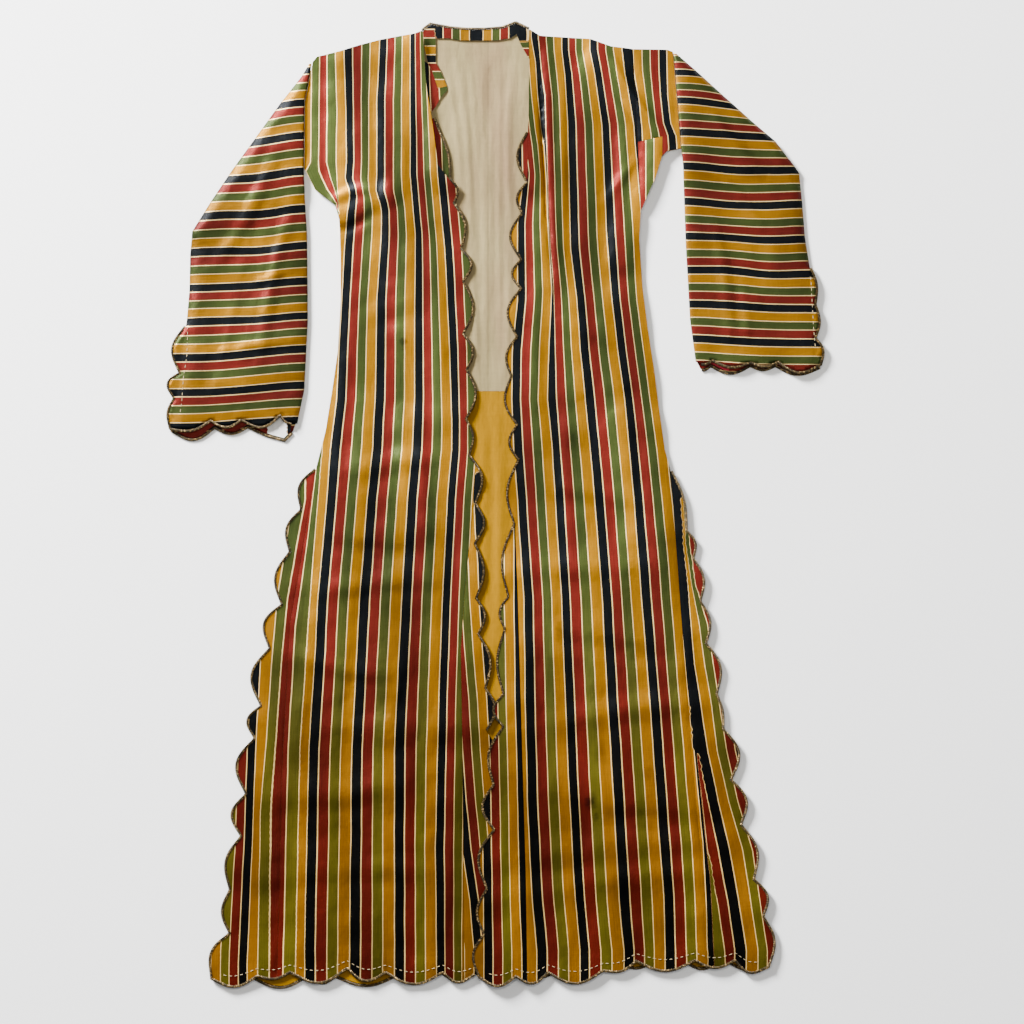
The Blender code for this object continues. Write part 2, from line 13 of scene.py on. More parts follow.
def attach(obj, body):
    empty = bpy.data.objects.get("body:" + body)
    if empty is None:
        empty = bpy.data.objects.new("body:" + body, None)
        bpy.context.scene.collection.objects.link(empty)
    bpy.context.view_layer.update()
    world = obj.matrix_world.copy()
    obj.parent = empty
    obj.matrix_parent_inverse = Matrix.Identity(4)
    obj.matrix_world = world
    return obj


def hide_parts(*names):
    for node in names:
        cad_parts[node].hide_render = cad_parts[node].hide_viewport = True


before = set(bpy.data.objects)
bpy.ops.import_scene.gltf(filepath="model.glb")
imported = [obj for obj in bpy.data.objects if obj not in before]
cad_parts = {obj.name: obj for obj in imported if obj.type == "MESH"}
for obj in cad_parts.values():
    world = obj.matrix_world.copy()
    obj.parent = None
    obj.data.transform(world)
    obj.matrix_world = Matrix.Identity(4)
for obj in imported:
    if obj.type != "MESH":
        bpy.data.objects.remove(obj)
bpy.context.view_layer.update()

# Sizes and heights of the pieces, above the table
MM = 0.001
CENTRE = np.array((0.5, 677.4, 0.0))    # the tailor's point that lies at the frame's origin
GAP = 0.3                   # between pieces that touch
LINING_Z = 1.8
FRONT_Z = 3.1
SLEEVE_Z = 3.3
HEAD_HEIGHT = 3.0
HEAD_LAYERS = 3
HEAD_RAMP = (26.0, 62.0)    # how far past the head the sleeve comes down to the table
HEAD_INSET = 0.3            # of the lowest layer of a sleeve's head
HEAD_STEP = 1.2             # by which each layer is smaller than the one below
HEAD_GAP = 0.2
FOLD_RADIUS = 2.2
FOLD_ARC = FOLD_RADIUS * math.pi / 2
SEAM_CLOSING = 1.6          # how much flatter the sleeve is along its outer seam
SEAM_REACH = 14.0
ROLL_HEIGHT = 5.0           # rolled front edges at the neck
ROLL_REACH = 40.0
ROLL_FADE = 35.0
ROLL_LOW_R = 1095.0         # heights at which the rolls start
ROLL_LOW_L = 1090.0
LAP_LIFT = 3.0              # left front where it laps over the right one
LAP_X = (37.0, 65.0)
LAP_Y = (432.0, 475.0)
LINING_INSET = 1.5
LINING_CHANGE = 837.0       # height of the joint between the linen and the cotton lining
CUFF_LINING_DEPTH = 40.0
CUFF_LINING_Z = 1.5
CUFF_LINING_TUCK = 2.0      # how far the lining stays behind the cuff's under edge
CUFF_LINING_SLANT = 8.0

# Sizes of the cloth, the braid and the sewing
SILK = 1.1
SLEEVE_SILK = 1.0
LINEN = 0.8
BODY_LINING = 0.5           # of the linings under the fronts
FINE = 5.0                  # spacing of a panel's points
BACK_SPACING = 9.0
COTTON_SPACING = 7.0
SMALL_SPACING = 3.0
HEAD_SPACING = 8.0
SCALLOP_STEPS = 12
SCALLOP_ROUNDNESS = 1.15
BRAID_WIDTH = 3.4
CORD_WIDTH = 4.5            # the cord spreads a little over the edge that it is sewn to
CORD_TUCK = 0.7             # and is drawn in over it, so that no floor shows between its turns
BRAID_HEIGHT = 2.4
CUFF_BRAID_HEIGHT = 1.9
LAP_HIDES_Y = 362.0         # the right edge's braid ends where the left front laps over it
SKIRT_BRAID_X = -28.0       # and the skirt's braid ends here
TWIST = 5.0                 # length of one turn of the braid's strands
TWIST_STEPS = 7
STRAND_SIDES = 5
STRAND_OFFSET = 0.2         # shares of the cord's size: a strand's way from its middle
STRAND_RADIUS = 0.3
SEAM_DIP = 0.9              # how far a panel's edge sinks into a seam
SEAM_DIP_REACH = 5.0
STITCH_LENGTH = 7.4
STITCH_GAP = 0.4
STITCH_RADIUS = 0.30
STITCH_TAPER = 0.8
STITCH_SIDES = 6
STITCH_LIFT = 0.55
HEM_STITCH_RISE = 9.0       # of the row of stitches above the hem's notches
HEM_STITCH_SHARE = 0.6      # of the scallops' depth that the row follows
HEM_STITCH_X_R = (-385.0, -32.0)
HEM_STITCH_X_L = (-12.0, 372.0)
LOFT = 0.8                  # loose cloth of the fronts above the lining
CREASE_GAIN = 1.7
RIPPLE_WAVES = 14
WAVE_LENGTHS = (0.6, 1.8)   # as shares of the size that is asked for
WAVE_SLANT = 0.45           # spread of the waves' directions, in radians
WAVE_STRETCH = 0.6
GUIDE_SPACING = 3.0         # of points along lines where the stripes jump or crowd
TUCK_LOW_Y = 880.0          # heights that these rows of points keep to
ARMPIT_Y = (1090.0, 1165.0)
GORE_TOP_Y = (678.0, 728.0)
GORE_JUMP_Y = (28.0, 640.0)
GORE_CROWD_Y = (34.0, 335.0)
JUMP = 0.5                  # from a line where the stripes jump to the rows beside it
SLEEVE_PUFF = 2.4           # rise of a sleeve's upper layer between its fold and its seam
PUFF_REACH = 20.0
CUFF_WHITE_X = ((-319.0, -292.0),)   # where the cuffs show their cotton lining, beside red silk
CUFF_NAVY_X = -292.0        # the right cuff's facing is navy from here to the fold
CUFF_PINK_X = ((301.0, 328.0), (361.0, 380.0))
RED_PLACE = 0.36            # places inside the red and the navy of the repeat
NAVY_PLACE = 0.10
SOFT_BENDS = (-24.0, -12.0, 0.0, 12.0, 24.0)   # how far a sleeve's stripe lines are smoothed
BAND_REPEAT = 47.0          # of its stripes, where it runs down beside the fronts
BAND_ARM_Y = 1326.0         # below this it runs down
BAND_CORNER_X = -83.0
BAND_TOP_R = 1343.0
BAND_TOP_L = 1341.0
BAND_TOP_PLACE = 0.245
BAND_BACK_X = (-84.0, -35.0, -26.6, 30.0)   # round the back of the neck
BAND_BACK_PLACES = (0.0, 1.0, 1.2, 0.0)     # and the stripes' places there
FRONT_RIPPLES = (34.0, 0.6)     # size and rise of the cloth's unevenness
SLACK_RIPPLES = (62.0, 1.1)
SLEEVE_RIPPLES = (32.0, 0.7)
STRIPE_UNIT = 0.01          # of the thread direction in the stripes' chart, for 1 mm

# Scalloped edges, a row for each notch: x, y, depth of the scallop to the next notch
EDGE_R = [
    (-64, 1133, 8), (-59, 1100, 11), (-49, 1036, 13), (-46, 991, 14), (-46, 917, 11),
    (-41, 867, 13), (-42, 798, 8), (-38, 748, 14), (-29, 680, 13), (-30, 624, 12),
    (-28, 547, 11), (-25, 497, 12), (-15, 421, 13), (-13, 363, 11), (-4, 300, 11),
    (0, 223, 11), (3, 141, 11), (6, 71, 8), (7, 21, 0)]
EDGE_L = [
    (45, 1127, 10), (39, 1086, 16), (38, 1021, 13), (38, 981, 16), (32, 913, 11),
    (24, 858, 13), (32, 790, 12), (34, 741, 13), (28, 651, 13), (20, 549, 10),
    (15, 504, 10), (13, 413, 14), (13, 368, 14), (-1, 286, 16), (0, 224, 17),
    (-10, 141, 12), (-14, 77, 12), (-21, 18, 0)]
HEM_R = [
    (-396, 15, 13), (-333, 20, 7), (-287, 25, 18), (-207, 31, 15), (-153, 25, 17),
    (-73, 25, 13), (-29, 22, 11), (7, 21, 0)]
HEM_L = [
    (-21, 18, 13), (29, 20, 13), (74, 25, 17), (151, 27, 8), (197, 41, 15),
    (280, 42, 11), (336, 42, 13), (382, 32, 0)]
VENT_R = [
    (-251, 727, 13), (-270, 671, 13), (-286, 612, 15), (-297, 538, 17), (-314, 477, 20),
    (-326, 396, 15), (-335, 351, 20), (-347, 273, 17), (-354, 214, 14), (-370, 139, 11),
    (-370, 78, 14), (-396, 15, 0)]
VENT_L = [
    (246, 725, 7), (267, 641, 8), (276, 603, 10), (286, 543, 10), (294, 484, 13),
    (309, 413, 4), (318, 364, 17), (329, 293, 15), (343, 230, 14), (361, 153, 13),
    (374, 102, 12), (382, 32, 0)]
HEM_BACK = [
    (-396, 15, 8), (-343, 18, 17), (-259, 21, 11), (-224, 18, 14), (-136, 20, 8),
    (-77, 24, 11), (-27, 24, 11), (35, 27, 11), (91, 29, 11), (172, 38, 10),
    (224, 41, 8), (263, 41, 15), (318, 46, 11), (382, 32, 0)]
TURN_R = [(-86, 1219, 0), (-80, 1203, 5), (-64, 1133, 0)]
TURN_L = [(46, 1199, 13), (45, 1131, 0)]
SLIT_R = [(-433, 927, 14), (-440, 862, 13), (-448, 827, 6), (-454, 785, 0)]
CUFF_R_UPPER = [(-454, 785, 8), (-398, 797, 10), (-355, 798, 14), (-300, 805, 5), (-277, 792, 0)]
CUFF_R_UNDER = [(-454, 783, 15), (-393, 787, 9), (-346, 788, 2), (-295, 769, 0), (-277, 788, 0)]
SLIT_L = [(441, 1009, 5), (447, 958, 6), (447, 911, 7), (455, 875, 0)]
CUFF_L_UPPER = [(281, 878, 4), (304, 881, 8), (358, 878, 6), (396, 879, 13), (455, 875, 0)]
CUFF_L_UNDER = [(281, 875, 7), (302, 874, 11), (358, 874, 6), (393, 874, 11), (455, 871, 0)]

# Plain edges and seams: x, y
SHOULDER_R = [
    (-101, 1341), (-112, 1337), (-133, 1334), (-161, 1329), (-189, 1322), (-217, 1313),
    (-249, 1305), (-255, 1298)]
SHOULDER_L = [
    (48, 1343), (63, 1334), (88, 1333), (134, 1330), (162, 1320), (193, 1316),
    (241, 1315), (249, 1312)]
ARMHOLE_R = [(-255, 1298), (-266, 1242), (-267, 1149)]
ARMHOLE_L = [(249, 1312), (256, 1232), (260, 1177)]
SIDE_R = [
    (-267, 1149), (-252, 1119), (-224, 1098), (-218, 1077), (-216, 1020), (-216, 965),
    (-220, 895), (-228, 839), (-237, 783), (-251, 727)]
SIDE_L = [
    (260, 1177), (241, 1173), (234, 1166), (224, 1134), (204, 1089), (202, 1049),
    (207, 979), (214, 925), (223, 867), (230, 811), (238, 755), (246, 725)]
ROLL_R = [
    (-101, 1341), (-99, 1312), (-97, 1278), (-95, 1257), (-90, 1229), (-85, 1196),
    (-80, 1154), (-64, 1133)]
ROLL_L = [(48, 1343), (48, 1301), (47, 1259), (47, 1231), (46, 1203), (46, 1165), (45, 1127)]
SEAM_CENTRE_R = [(-29, 680), (-37, 610), (-43, 545), (-48, 475), (-46, 360), (-45, 265), (-43, 25)]
SEAM_CENTRE_L = [(28, 651), (32, 545), (35, 440), (38, 335), (43, 160), (45, 25)]
SEAM_SIDE_R = [(-251, 727), (-269, 615), (-287, 510), (-292, 420), (-297, 335), (-301, 180), (-305, 22)]
SEAM_SIDE_L = [(246, 725), (259, 545), (266, 447), (273, 349), (288, 190), (302, 40)]
SEAM_PANEL_L = [(193, 1316), (197, 1245), (200, 1186), (204, 1089)]
SEAM_GUSSET_L = [(200, 1186), (234, 1193), (234, 1166)]
SEAM_STRIP_R = [(-239, 1308), (-239, 1140), (-236, 1108)]
TURN_BACK_R = [(-75, 1133), (-84, 1150), (-92, 1196), (-94, 1219)]
TURN_BACK_L = [(54, 1135), (55, 1165), (55, 1205)]
BAND_OUTER = [
    (-80, 1261), (-88, 1285), (-94, 1296), (-99, 1319), (-101, 1341), (-97, 1345),
    (-90, 1350), (-62, 1345), (-39, 1343), (-14, 1343), (10, 1345), (29, 1352), (48, 1343)]
BAND_INNER = [
    (47, 1303), (36, 1322), (30, 1337), (21, 1331), (1, 1328), (-20, 1328), (-48, 1328),
    (-66, 1331), (-83, 1331), (-83, 1298), (-77, 1287), (-67, 1264)]
NECK_CORNER = [
    (-100, 1300), (-94, 1296), (-88, 1285), (-80, 1261), (-67, 1264), (-67, 1258),
    (-76, 1248), (-83, 1235), (-89, 1228), (-98, 1240)]

# Rows of stitches beside the sleeves' slits
STITCHES_R = [(-430, 928), (-431, 888), (-436, 855), (-438, 825), (-441, 802)]
STITCHES_L = [(442, 997), (444, 960), (446, 925), (449, 892)]

# Sleeves: x of the inner and outer edge at each height y
SLEEVE_R_INNER = [
    (-256.2, 1295), (-266.6, 1242), (-267.6, 1149), (-266, 1105), (-263, 1054), (-262, 937),
    (-267, 839), (-277, 792), (-278, 760)]
SLEEVE_R_OUTER = [
    (-260, 1295), (-270, 1278), (-295, 1246), (-344, 1179), (-395, 1106), (-424, 1060),
    (-427, 1029), (-428, 979), (-433, 927), (-440, 862), (-448, 827), (-454, 785), (-454, 760)]
SLEEVE_L_INNER = [
    (249.7, 1309), (256.4, 1232), (260.4, 1177), (263, 1154), (267, 1042), (273, 937),
    (281, 878), (282, 860)]
SLEEVE_L_OUTER = [
    (254, 1309), (286, 1281), (321, 1249), (360, 1214), (393, 1186), (410, 1163),
    (426, 1142), (430, 1103), (434, 1054), (441, 1009), (447, 911), (455, 875), (455, 860)]
HEAD_R = [(-259, 1289), (-268, 1246), (-270, 1154), (-386, 1110), (-340, 1177), (-296, 1237)]
HEAD_L = [(253, 1301), (262, 1180), (384, 1186), (352, 1214), (320, 1243)]

# Folds: x and y of both ends, half width, height. Creases also have a sideways bend at the middle
FOLDS = [
    (-150, 1112, -214, 1082, 26, 5.0),
    (-226, 1290, -188, 1130, 42, 3.0),
    (-138, 1300, -120, 920, 45, 2.5),
    (-196, 720, -262, 60, 48, 3.0),
    (-128, 780, -160, 50, 42, 2.5),
    (-205, 1040, -185, 760, 34, 2.0),
    (147, 1298, 228, 1182, 34, 4.0),
    (81, 1301, 80, 990, 30, 3.0),
    (128, 1240, 112, 900, 36, 2.2),
    (222, 1150, 176, 1020, 32, 3.5),
    (176, 960, 196, 640, 40, 2.0),
    (222, 640, 305, 60, 48, 3.0),
    (122, 700, 184, 60, 44, 2.6)]
CREASES_R = [
    (-232, 1100, -165, 1120, 12, 2.2, 6),
    (-168, 1088, -222, 1060, 10, -1.6, 4),
    (-108, 1290, -86, 1080, 14, -1.6, -5),
    (-170, 1300, -150, 1020, 16, 1.3, 6),
    (-96, 1100, -78, 760, 16, 1.6, 8),
    (-150, 980, -132, 640, 18, -1.4, -6),
    (-118, 900, -96, 560, 15, 1.3, 5),
    (-60, 700, -70, 420, 15, -1.3, 4),
    (-206, 900, -222, 700, 14, 1.5, -4),
    (-170, 620, -214, 200, 20, -1.5, -9),
    (-100, 540, -118, 90, 18, -1.4, 6),
    (-238, 640, -300, 250, 16, 1.2, 7),
    (-130, 470, -150, 360, 10, 1.0, 3),
    (-60, 330, -72, 70, 14, 1.3, 3),
    (-262, 1296, -262, 1156, 12, -1.0, 0),
    (-206, 930, -92, 962, 22, 1.4, 6),
    (-212, 846, -70, 806, 24, -1.3, 8),
    (-226, 716, -60, 742, 24, 1.5, 9),
    (-252, 628, -96, 606, 20, -1.2, -6),
    (-266, 552, -62, 572, 22, 1.5, 8),
    (-284, 470, -130, 438, 20, 1.2, -7),
    (-300, 372, -72, 398, 26, -1.2, 9),
    (-340, 262, -100, 296, 26, 1.3, -8),
    (-350, 150, -66, 168, 24, 1.1, 7)]
CREASES_L = [
    (62, 1318, 80, 985, 4.5, -2.6, -3),
    (72, 1318, 90, 960, 9, 1.8, -3),
    (98, 1300, 96, 1030, 12, 1.5, -3),
    (160, 1310, 236, 1196, 9, 2.2, -5),
    (146, 1282, 206, 1190, 8, -1.8, 4),
    (180, 1240, 160, 1000, 14, 1.4, 6),
    (204, 1170, 150, 1090, 10, 1.5, -3),
    (60, 1100, 58, 780, 14, 1.2, -3),
    (132, 1010, 138, 720, 16, -1.4, 5),
    (100, 860, 110, 560, 15, 1.3, -5),
    (188, 880, 206, 620, 13, -1.3, 4),
    (60, 620, 70, 260, 15, -1.2, 4),
    (150, 560, 176, 180, 18, -1.5, -7),
    (210, 520, 250, 150, 15, 1.3, 6),
    (250, 420, 330, 90, 15, -1.2, -6),
    (96, 400, 110, 60, 14, 1.2, 4),
    (254, 1310, 257, 1180, 12, -1.0, 0),
    (62, 930, 196, 902, 22, 1.3, 7),
    (50, 806, 214, 838, 24, -1.2, -6),
    (46, 700, 230, 676, 22, 1.4, 8),
    (60, 588, 250, 604, 24, 1.2, -7),
    (54, 486, 262, 452, 22, -1.1, 8),
    (80, 372, 300, 398, 26, 1.3, 9),
    (60, 262, 320, 226, 24, -1.1, -8),
    (70, 142, 350, 168, 26, 1.1, 6)]
CREASES_SLEEVE_R = [
    (-300, 1190, -400, 1000, 16, 1.8, 10),
    (-276, 1120, -330, 860, 15, 1.6, -8),
    (-380, 980, -410, 830, 14, -1.2, 5),
    (-330, 1080, -370, 880, 13, -1.3, 6),
    (-280, 1010, -350, 985, 8, 1.0, 2),
    (-275, 905, -420, 885, 9, 1.1, -4)]
CREASES_SLEEVE_L = [
    (300, 1230, 400, 1120, 15, 1.8, -8),
    (280, 1160, 380, 1060, 13, 1.5, 8),
    (300, 1100, 330, 900, 14, 1.5, 6),
    (370, 1060, 400, 900, 14, -1.3, -5),
    (345, 1000, 352, 890, 10, 1.0, 3)]
CREASES_LINEN = [
    (-54, 1310, -34, 1040, 7, 1.5, 6),
    (-36, 1300, -24, 1100, 5, 1.0, 4),
    (-20, 1318, -14, 860, 5, 1.3, 3),
    (-4, 1240, -4, 930, 5, 1.1, -2),
    (8, 1290, 10, 900, 5, 1.2, -4),
    (24, 1300, 22, 1060, 7, 1.5, -5),
    (-68, 1290, -46, 1120, 6, 1.2, 3),
    (-34, 1010, -26, 850, 6, 1.3, 3),
    (18, 1040, 14, 850, 6, 1.2, 3)]
CREASES_COTTON = [
    (2, 836, 4, 470, 7, 1.3, 3),
    (-18, 800, -14, 560, 6, 1.0, 2),
    (14, 760, 12, 600, 5, 0.9, -2)]

# Stripe lines: place in the repeat of navy, red, green and yellow, and the line's points
FRONT_R_STRIPES = [
    (-0.62, [(22, -305), (181, -301), (335, -297), (419, -293), (510, -287), (615, -269),
             (727, -253), (1040, -240), (1075, -226), (1098, -219.5), (1111, -223), (1135, -234),
             (1157, -242), (1329, -240)]),
    (-0.26, [(22, -278), (335, -272), (615, -253), (755, -242), (895, -230), (965, -226),
             (1040, -222), (1075, -220.5), (1098, -218), (1111, -219.6), (1157, -221.5),
             (1230, -220), (1315, -223)]),
    (0, [(55, -266), (195, -263), (335, -260), (405, -256), (475, -251), (545, -248),
         (615, -241), (685, -235), (755, -230), (825, -221), (895, -218), (965, -214),
         (1040, -210), (1088, -206), (1109, -202), (1120, -203), (1134, -209), (1160, -207),
         (1230, -208), (1315, -211)]),
    (1, [(55, -203), (335, -200), (405, -196), (545, -189), (685, -178), (755, -171),
         (825, -167), (965, -165), (1050, -159), (1088, -158), (1099, -160), (1117, -166),
         (1140, -165), (1245, -165), (1315, -161)]),
    (2, [(55, -140), (335, -140), (405, -137), (545, -130), (685, -122), (755, -115),
         (825, -112), (1056, -111), (1140, -118), (1315, -118)]),
    (3, [(55, -81), (195, -83), (405, -78), (545, -73), (685, -66), (755, -60), (797, -60),
         (895, -63), (1035, -70), (1140, -80), (1315, -90)]),
    (3.74, [(55, -46), (405, -43), (545, -39), (685, -32), (750, -27), (895, -27.5),
            (1035, -34.5), (1140, -44.5), (1315, -59.7)]),
    (4, [(55, -34), (405, -31), (545, -27), (670, -22), (682, -31), (722, -28.5), (726, -16),
         (755, -13), (895, -15), (1035, -22), (1140, -32), (1315, -49)]),
    (5, [(55, 13), (545, 20), (722, 18), (755, 34), (1035, 25), (1315, -2)])]
STRIP_R_STRIPES = [
    (0, [(22, -345), (727, -300), (1040, -262), (1075, -240), (1098, -230), (1119, -273),
         (1145, -287), (1157, -271), (1329, -269)])]
SIDE_GORE_R_STRIPES = [
    (1, [(55, -398), (195, -389), (335, -384), (475, -374)]),
    (0, [(35, -347.5), (244, -338.5), (351, -335), (475, -328), (545, -321), (615, -311), (685, -300)]),
    (-0.275, [(35, -332), (244, -329), (351, -319.5), (475, -311), (545, -305), (615, -294),
              (685, -283)]),
    (-0.51, [(35, -316.6), (244, -315), (351, -307), (475, -298), (545, -291), (615, -279),
             (685, -266)]),
    (-0.62, [(22, -305), (181, -301), (335, -297), (419, -293), (510, -287), (615, -269),
             (727, -252)])]
CENTRE_GORE_R_STRIPES = [
    (0, [(55, -29), (125, -35), (195, -45), (265, -52), (335, -57), (405, -61), (475, -67),
         (545, -72), (600, -74), (680, -79)]),
    (1, [(55, 21), (125, 15), (195, 6), (265, -1), (335, -7), (405, -11), (475, -17),
         (545, -22), (600, -24), (640, -27), (680, -29)])]
FRONT_L_STRIPES = [
    (0, [(55, 59), (125, 53), (195, 49), (265, 46), (405, 43), (545, 41), (685, 32), (755, 27),
         (825, 24), (895, 25), (965, 32), (1070, 32), (1140, 41), (1210, 32), (1329, 18)]),
    (1, [(55, 120), (125, 113), (265, 105), (405, 99), (545, 94), (685, 85), (755, 81),
         (825, 74), (895, 76), (979, 80), (1042, 76), (1088, 74), (1134, 72), (1180, 69),
         (1203, 65), (1250, 60), (1296, 57), (1331, 51)]),
    (1.247, [(55, 133), (125, 126), (265, 118), (405, 112), (545, 106), (685, 98), (755, 92),
             (825, 87), (895, 85), (979, 82.5), (1042, 77.5), (1088, 75.2), (1134, 73.8),
             (1180, 72.5), (1203, 71.5), (1250, 70.5), (1280, 66), (1331, 61)]),
    (2, [(55, 181), (125, 174), (265, 167), (405, 158), (545, 151), (685, 140), (755, 134),
         (825, 127), (895, 120), (965, 115), (1035, 106), (1210, 102), (1280, 98), (1315, 94)]),
    (3, [(55, 239), (125, 237), (265, 227), (405, 217), (545, 206), (685, 195), (825, 182),
         (895, 172), (965, 164), (1056, 157), (1210, 150), (1280, 140), (1315, 133)]),
    (4, [(42, 299), (119, 296), (205, 291.5), (265, 286), (405, 273), (615, 256), (755, 241), (825, 230),
         (895, 221), (965, 211), (1070, 206), (1210, 195), (1280, 182), (1315, 178)]),
    (4.21, [(55, 305.5), (405, 282.5), (755, 251.5), (965, 221.5), (1089, 216), (1180, 206),
            (1203, 203), (1250, 198.5), (1316, 194.5)])]
CENTRE_GORE_L_STRIPES = [
    (0, [(55, -15), (265, -17), (405, -20), (545, -24)]),
    (1, [(55, 38), (125, 35), (265, 32), (405, 29), (545, 27)])]
SIDE_GORE_L_EDGE = [
    (36, 307), (55, 306), (119, 303), (156, 301), (199, 296), (262, 289.5), (330, 282.5),
    (405, 276), (511, 264), (682, 252)]
SIDE_GORE_L_STRIPES = [
    (3.7, [(42, 284), (119, 281), (205, 276), (262, 271), (333, 264), (405, 258), (511, 249),
           (682, 236)]),
    (4, [(42, 299), (119, 296), (205, 291.5), (262, 286), (333, 279), (405, 273), (511, 261),
         (625, 250), (682, 246)]),
    (4.2, SIDE_GORE_L_EDGE),
    (4.714, SIDE_GORE_L_EDGE),
    (4.5, [(36, 322), (55, 320.5), (119, 311), (156, 303), (199, 296), (262, 289.5),
           (330, 282.5), (405, 276), (511, 264), (682, 252)]),
    (4.2, [(55, 337), (125, 327), (195, 314.5), (262, 299), (330, 283), (405, 276),
           (511, 264), (682, 252)]),
    (4, [(55, 351), (125, 340), (195, 328), (262, 312.5), (333, 297.5), (397, 287.5),
         (454, 278.5), (511, 274), (568, 270), (625, 264.5), (682, 262.5)]),
    (3.737, [(55, 367.5), (125, 357), (195, 346.5), (262, 327), (333, 310.5), (397, 303),
             (454, 293), (511, 285.5), (568, 274.5), (625, 266), (682, 263.5)]),
    (3.5, [(55, 380.5), (125, 370), (195, 360), (262, 339.5), (333, 324), (397, 314),
           (454, 305), (511, 297), (568, 279), (625, 271.5), (682, 266)]),
    (3, [(55, 404), (125, 395), (195, 384), (265, 364), (335, 347), (405, 338), (511, 322),
         (568, 304), (625, 295), (682, 290)])]
SIDE_PANEL_L_STRIPES = [
    (1, [(1180, 206), (1204, 205), (1250, 200), (1285, 194), (1315, 193)]),
    (0, [(1180, 254), (1194, 253), (1212, 245), (1250, 241), (1315, 240)]),
    (-1, [(1180, 302), (1250, 290), (1315, 289)])]
GUSSET_L_STRIPES = [
    (0, [(1105, 188), (1245, 188)]),
    (1, [(1105, 235), (1245, 235)])]


def across_sleeve(levels, rows):
    """Lines whose points share their levels of x, given as heights from the fold outwards."""
    return [(place, sorted(zip(levels, heights))) for place, heights in rows.items()]


SLEEVE_R_STRIPES = across_sleeve((-273, -329, -385, -420), {
    10: (752, 749, 743, 742), 9: (802, 799, 794, 792), 8: (851, 846, 841, 840),
    7: (902, 896, 890, 889), 6: (948, 941, 941, 939), 5: (997, 990, 987, 986),
    4: (1047, 1037, 1039, 1036), 3: (1099, 1088, 1089, 1085), 2: (1151, 1140, 1137),
    1: (1201, 1190, 1186), 0: (1246, 1236)})
SLEEVE_L_STRIPES = across_sleeve((273, 329, 385, 427), {
    -9.77: (869, 865, 862, 862), -8.77: (917, 913, 910, 910), -7.77: (965, 963, 958, 958),
    -6.77: (1012, 1012, 1004, 1007), -5.77: (1060, 1057, 1053, 1056), -4.77: (1109, 1102, 1102, 1105),
    -3.77: (1158, 1151, 1151, 1152), -2.77: (1205, 1200, 1197), -1.77: (1249, 1240, 1236),
    -0.77: (1287, 1280), 0.23: (1326, 1319)})
TURN_STRIPES_R = [(0, [(1100, -96), (1300, -104)]), (1, [(1100, -46), (1300, -54)])]
TURN_STRIPES_L = [(0, [(1100, 28), (1300, 24)]), (1, [(1100, 78), (1300, 74)])]
BACK_STRIPES = [
    (8, [(20, -470), (1340, -420)]), (0, [(20, -6), (1340, -6)]), (8, [(20, 458), (1340, 408)])]

# Colours, as linear red, green and blue
NAVY = (0.0028, 0.0038, 0.0050)
RED = (0.108, 0.0100, 0.0066)
GREEN = (0.033, 0.045, 0.010)
YELLOW = (0.245, 0.105, 0.0)
CREAM = (0.74, 0.52, 0.22)
# Darker copies of the colours, painted towards the hem as shade where the light falls off; the green also
# turns more olive
NAVY_SHADED = (0.0008, 0.0008, 0.0008)
RED_SHADED = (0.070, 0.0050, 0.002)
GREEN_SHADED = (0.062, 0.051, 0.003)
YELLOW_SHADED = (0.170, 0.066, 0.0)
CREAM_SHADED = (0.62, 0.40, 0.14)
LINEN_COLOUR = (0.245, 0.192, 0.092)
LINEN_TINT = (0.218, 0.142, 0.078)
COTTON_YELLOW = (0.235, 0.112, 0.0)
COTTON_WHITE = (0.75, 0.74, 0.70)
COTTON_PINK = (0.42, 0.035, 0.05)
THREAD = (0.46, 0.36, 0.20)
FLOOR_COLOUR = (0.92, 0.92, 0.92)
BRAID_SPECKS = [
    (0.0, (0.008, 0.006, 0.003)), (0.46, (0.022, 0.016, 0.006)), (0.58, (0.075, 0.046, 0.015)),
    (0.70, (0.36, 0.24, 0.10))]
SLEEVE_DIM = 0.74             # the sleeves' silk runs across, so it catches less of the light
SHADED_SKIRT = (-0.46, -0.02)    # heights between which the silk takes the darker copies of its colours, in metres: painted shade towards the hem, with the green more olive
LINEN_SEAM_X = -9.8


def repeat_of(navy, red, green, yellow, cream):
    """Where each colour of the repeat starts."""
    return [(0.0, navy), (0.217, cream), (0.244, red), (0.473, cream), (0.500, green),
            (0.714, cream), (0.737, yellow), (0.973, cream)]


REPEAT = repeat_of(NAVY, RED, GREEN, YELLOW, CREAM)
REPEAT_SHADED = repeat_of(NAVY_SHADED, RED_SHADED, GREEN_SHADED, YELLOW_SHADED, CREAM_SHADED)

# Stains: x, y, radius, strength. They are longer along the robe than across it
STAIN_SQUASH = 0.6
STAINS = [
    (133, 262, 11, 0.75), (141, 243, 6, 0.5), (92, 503, 12, 0.4), (-128, 905, 7, 0.55),
    (-138, 880, 5, 0.4), (150, 330, 14, 0.25), (-180, 330, 15, 0.2), (214, 300, 12, 0.25),
    (-104, 500, 9, 0.25), (180, 180, 14, 0.25), (110, 770, 8, 0.25)]


# Curves and outlines

SHARED_END = 0.5            # points nearer than this are the same point
MITRE_LIMIT = 0.4           # keeps sharp corners from running far out
GRID_CLEARANCE = 0.55       # of a grid's outer points from the outline, as a share of the spacing
GUIDE_CLEARANCE = 0.8       # of a grid's points from the guide rows, as a share of their spacing
GUIDE_EDGE_GAP = 1.0


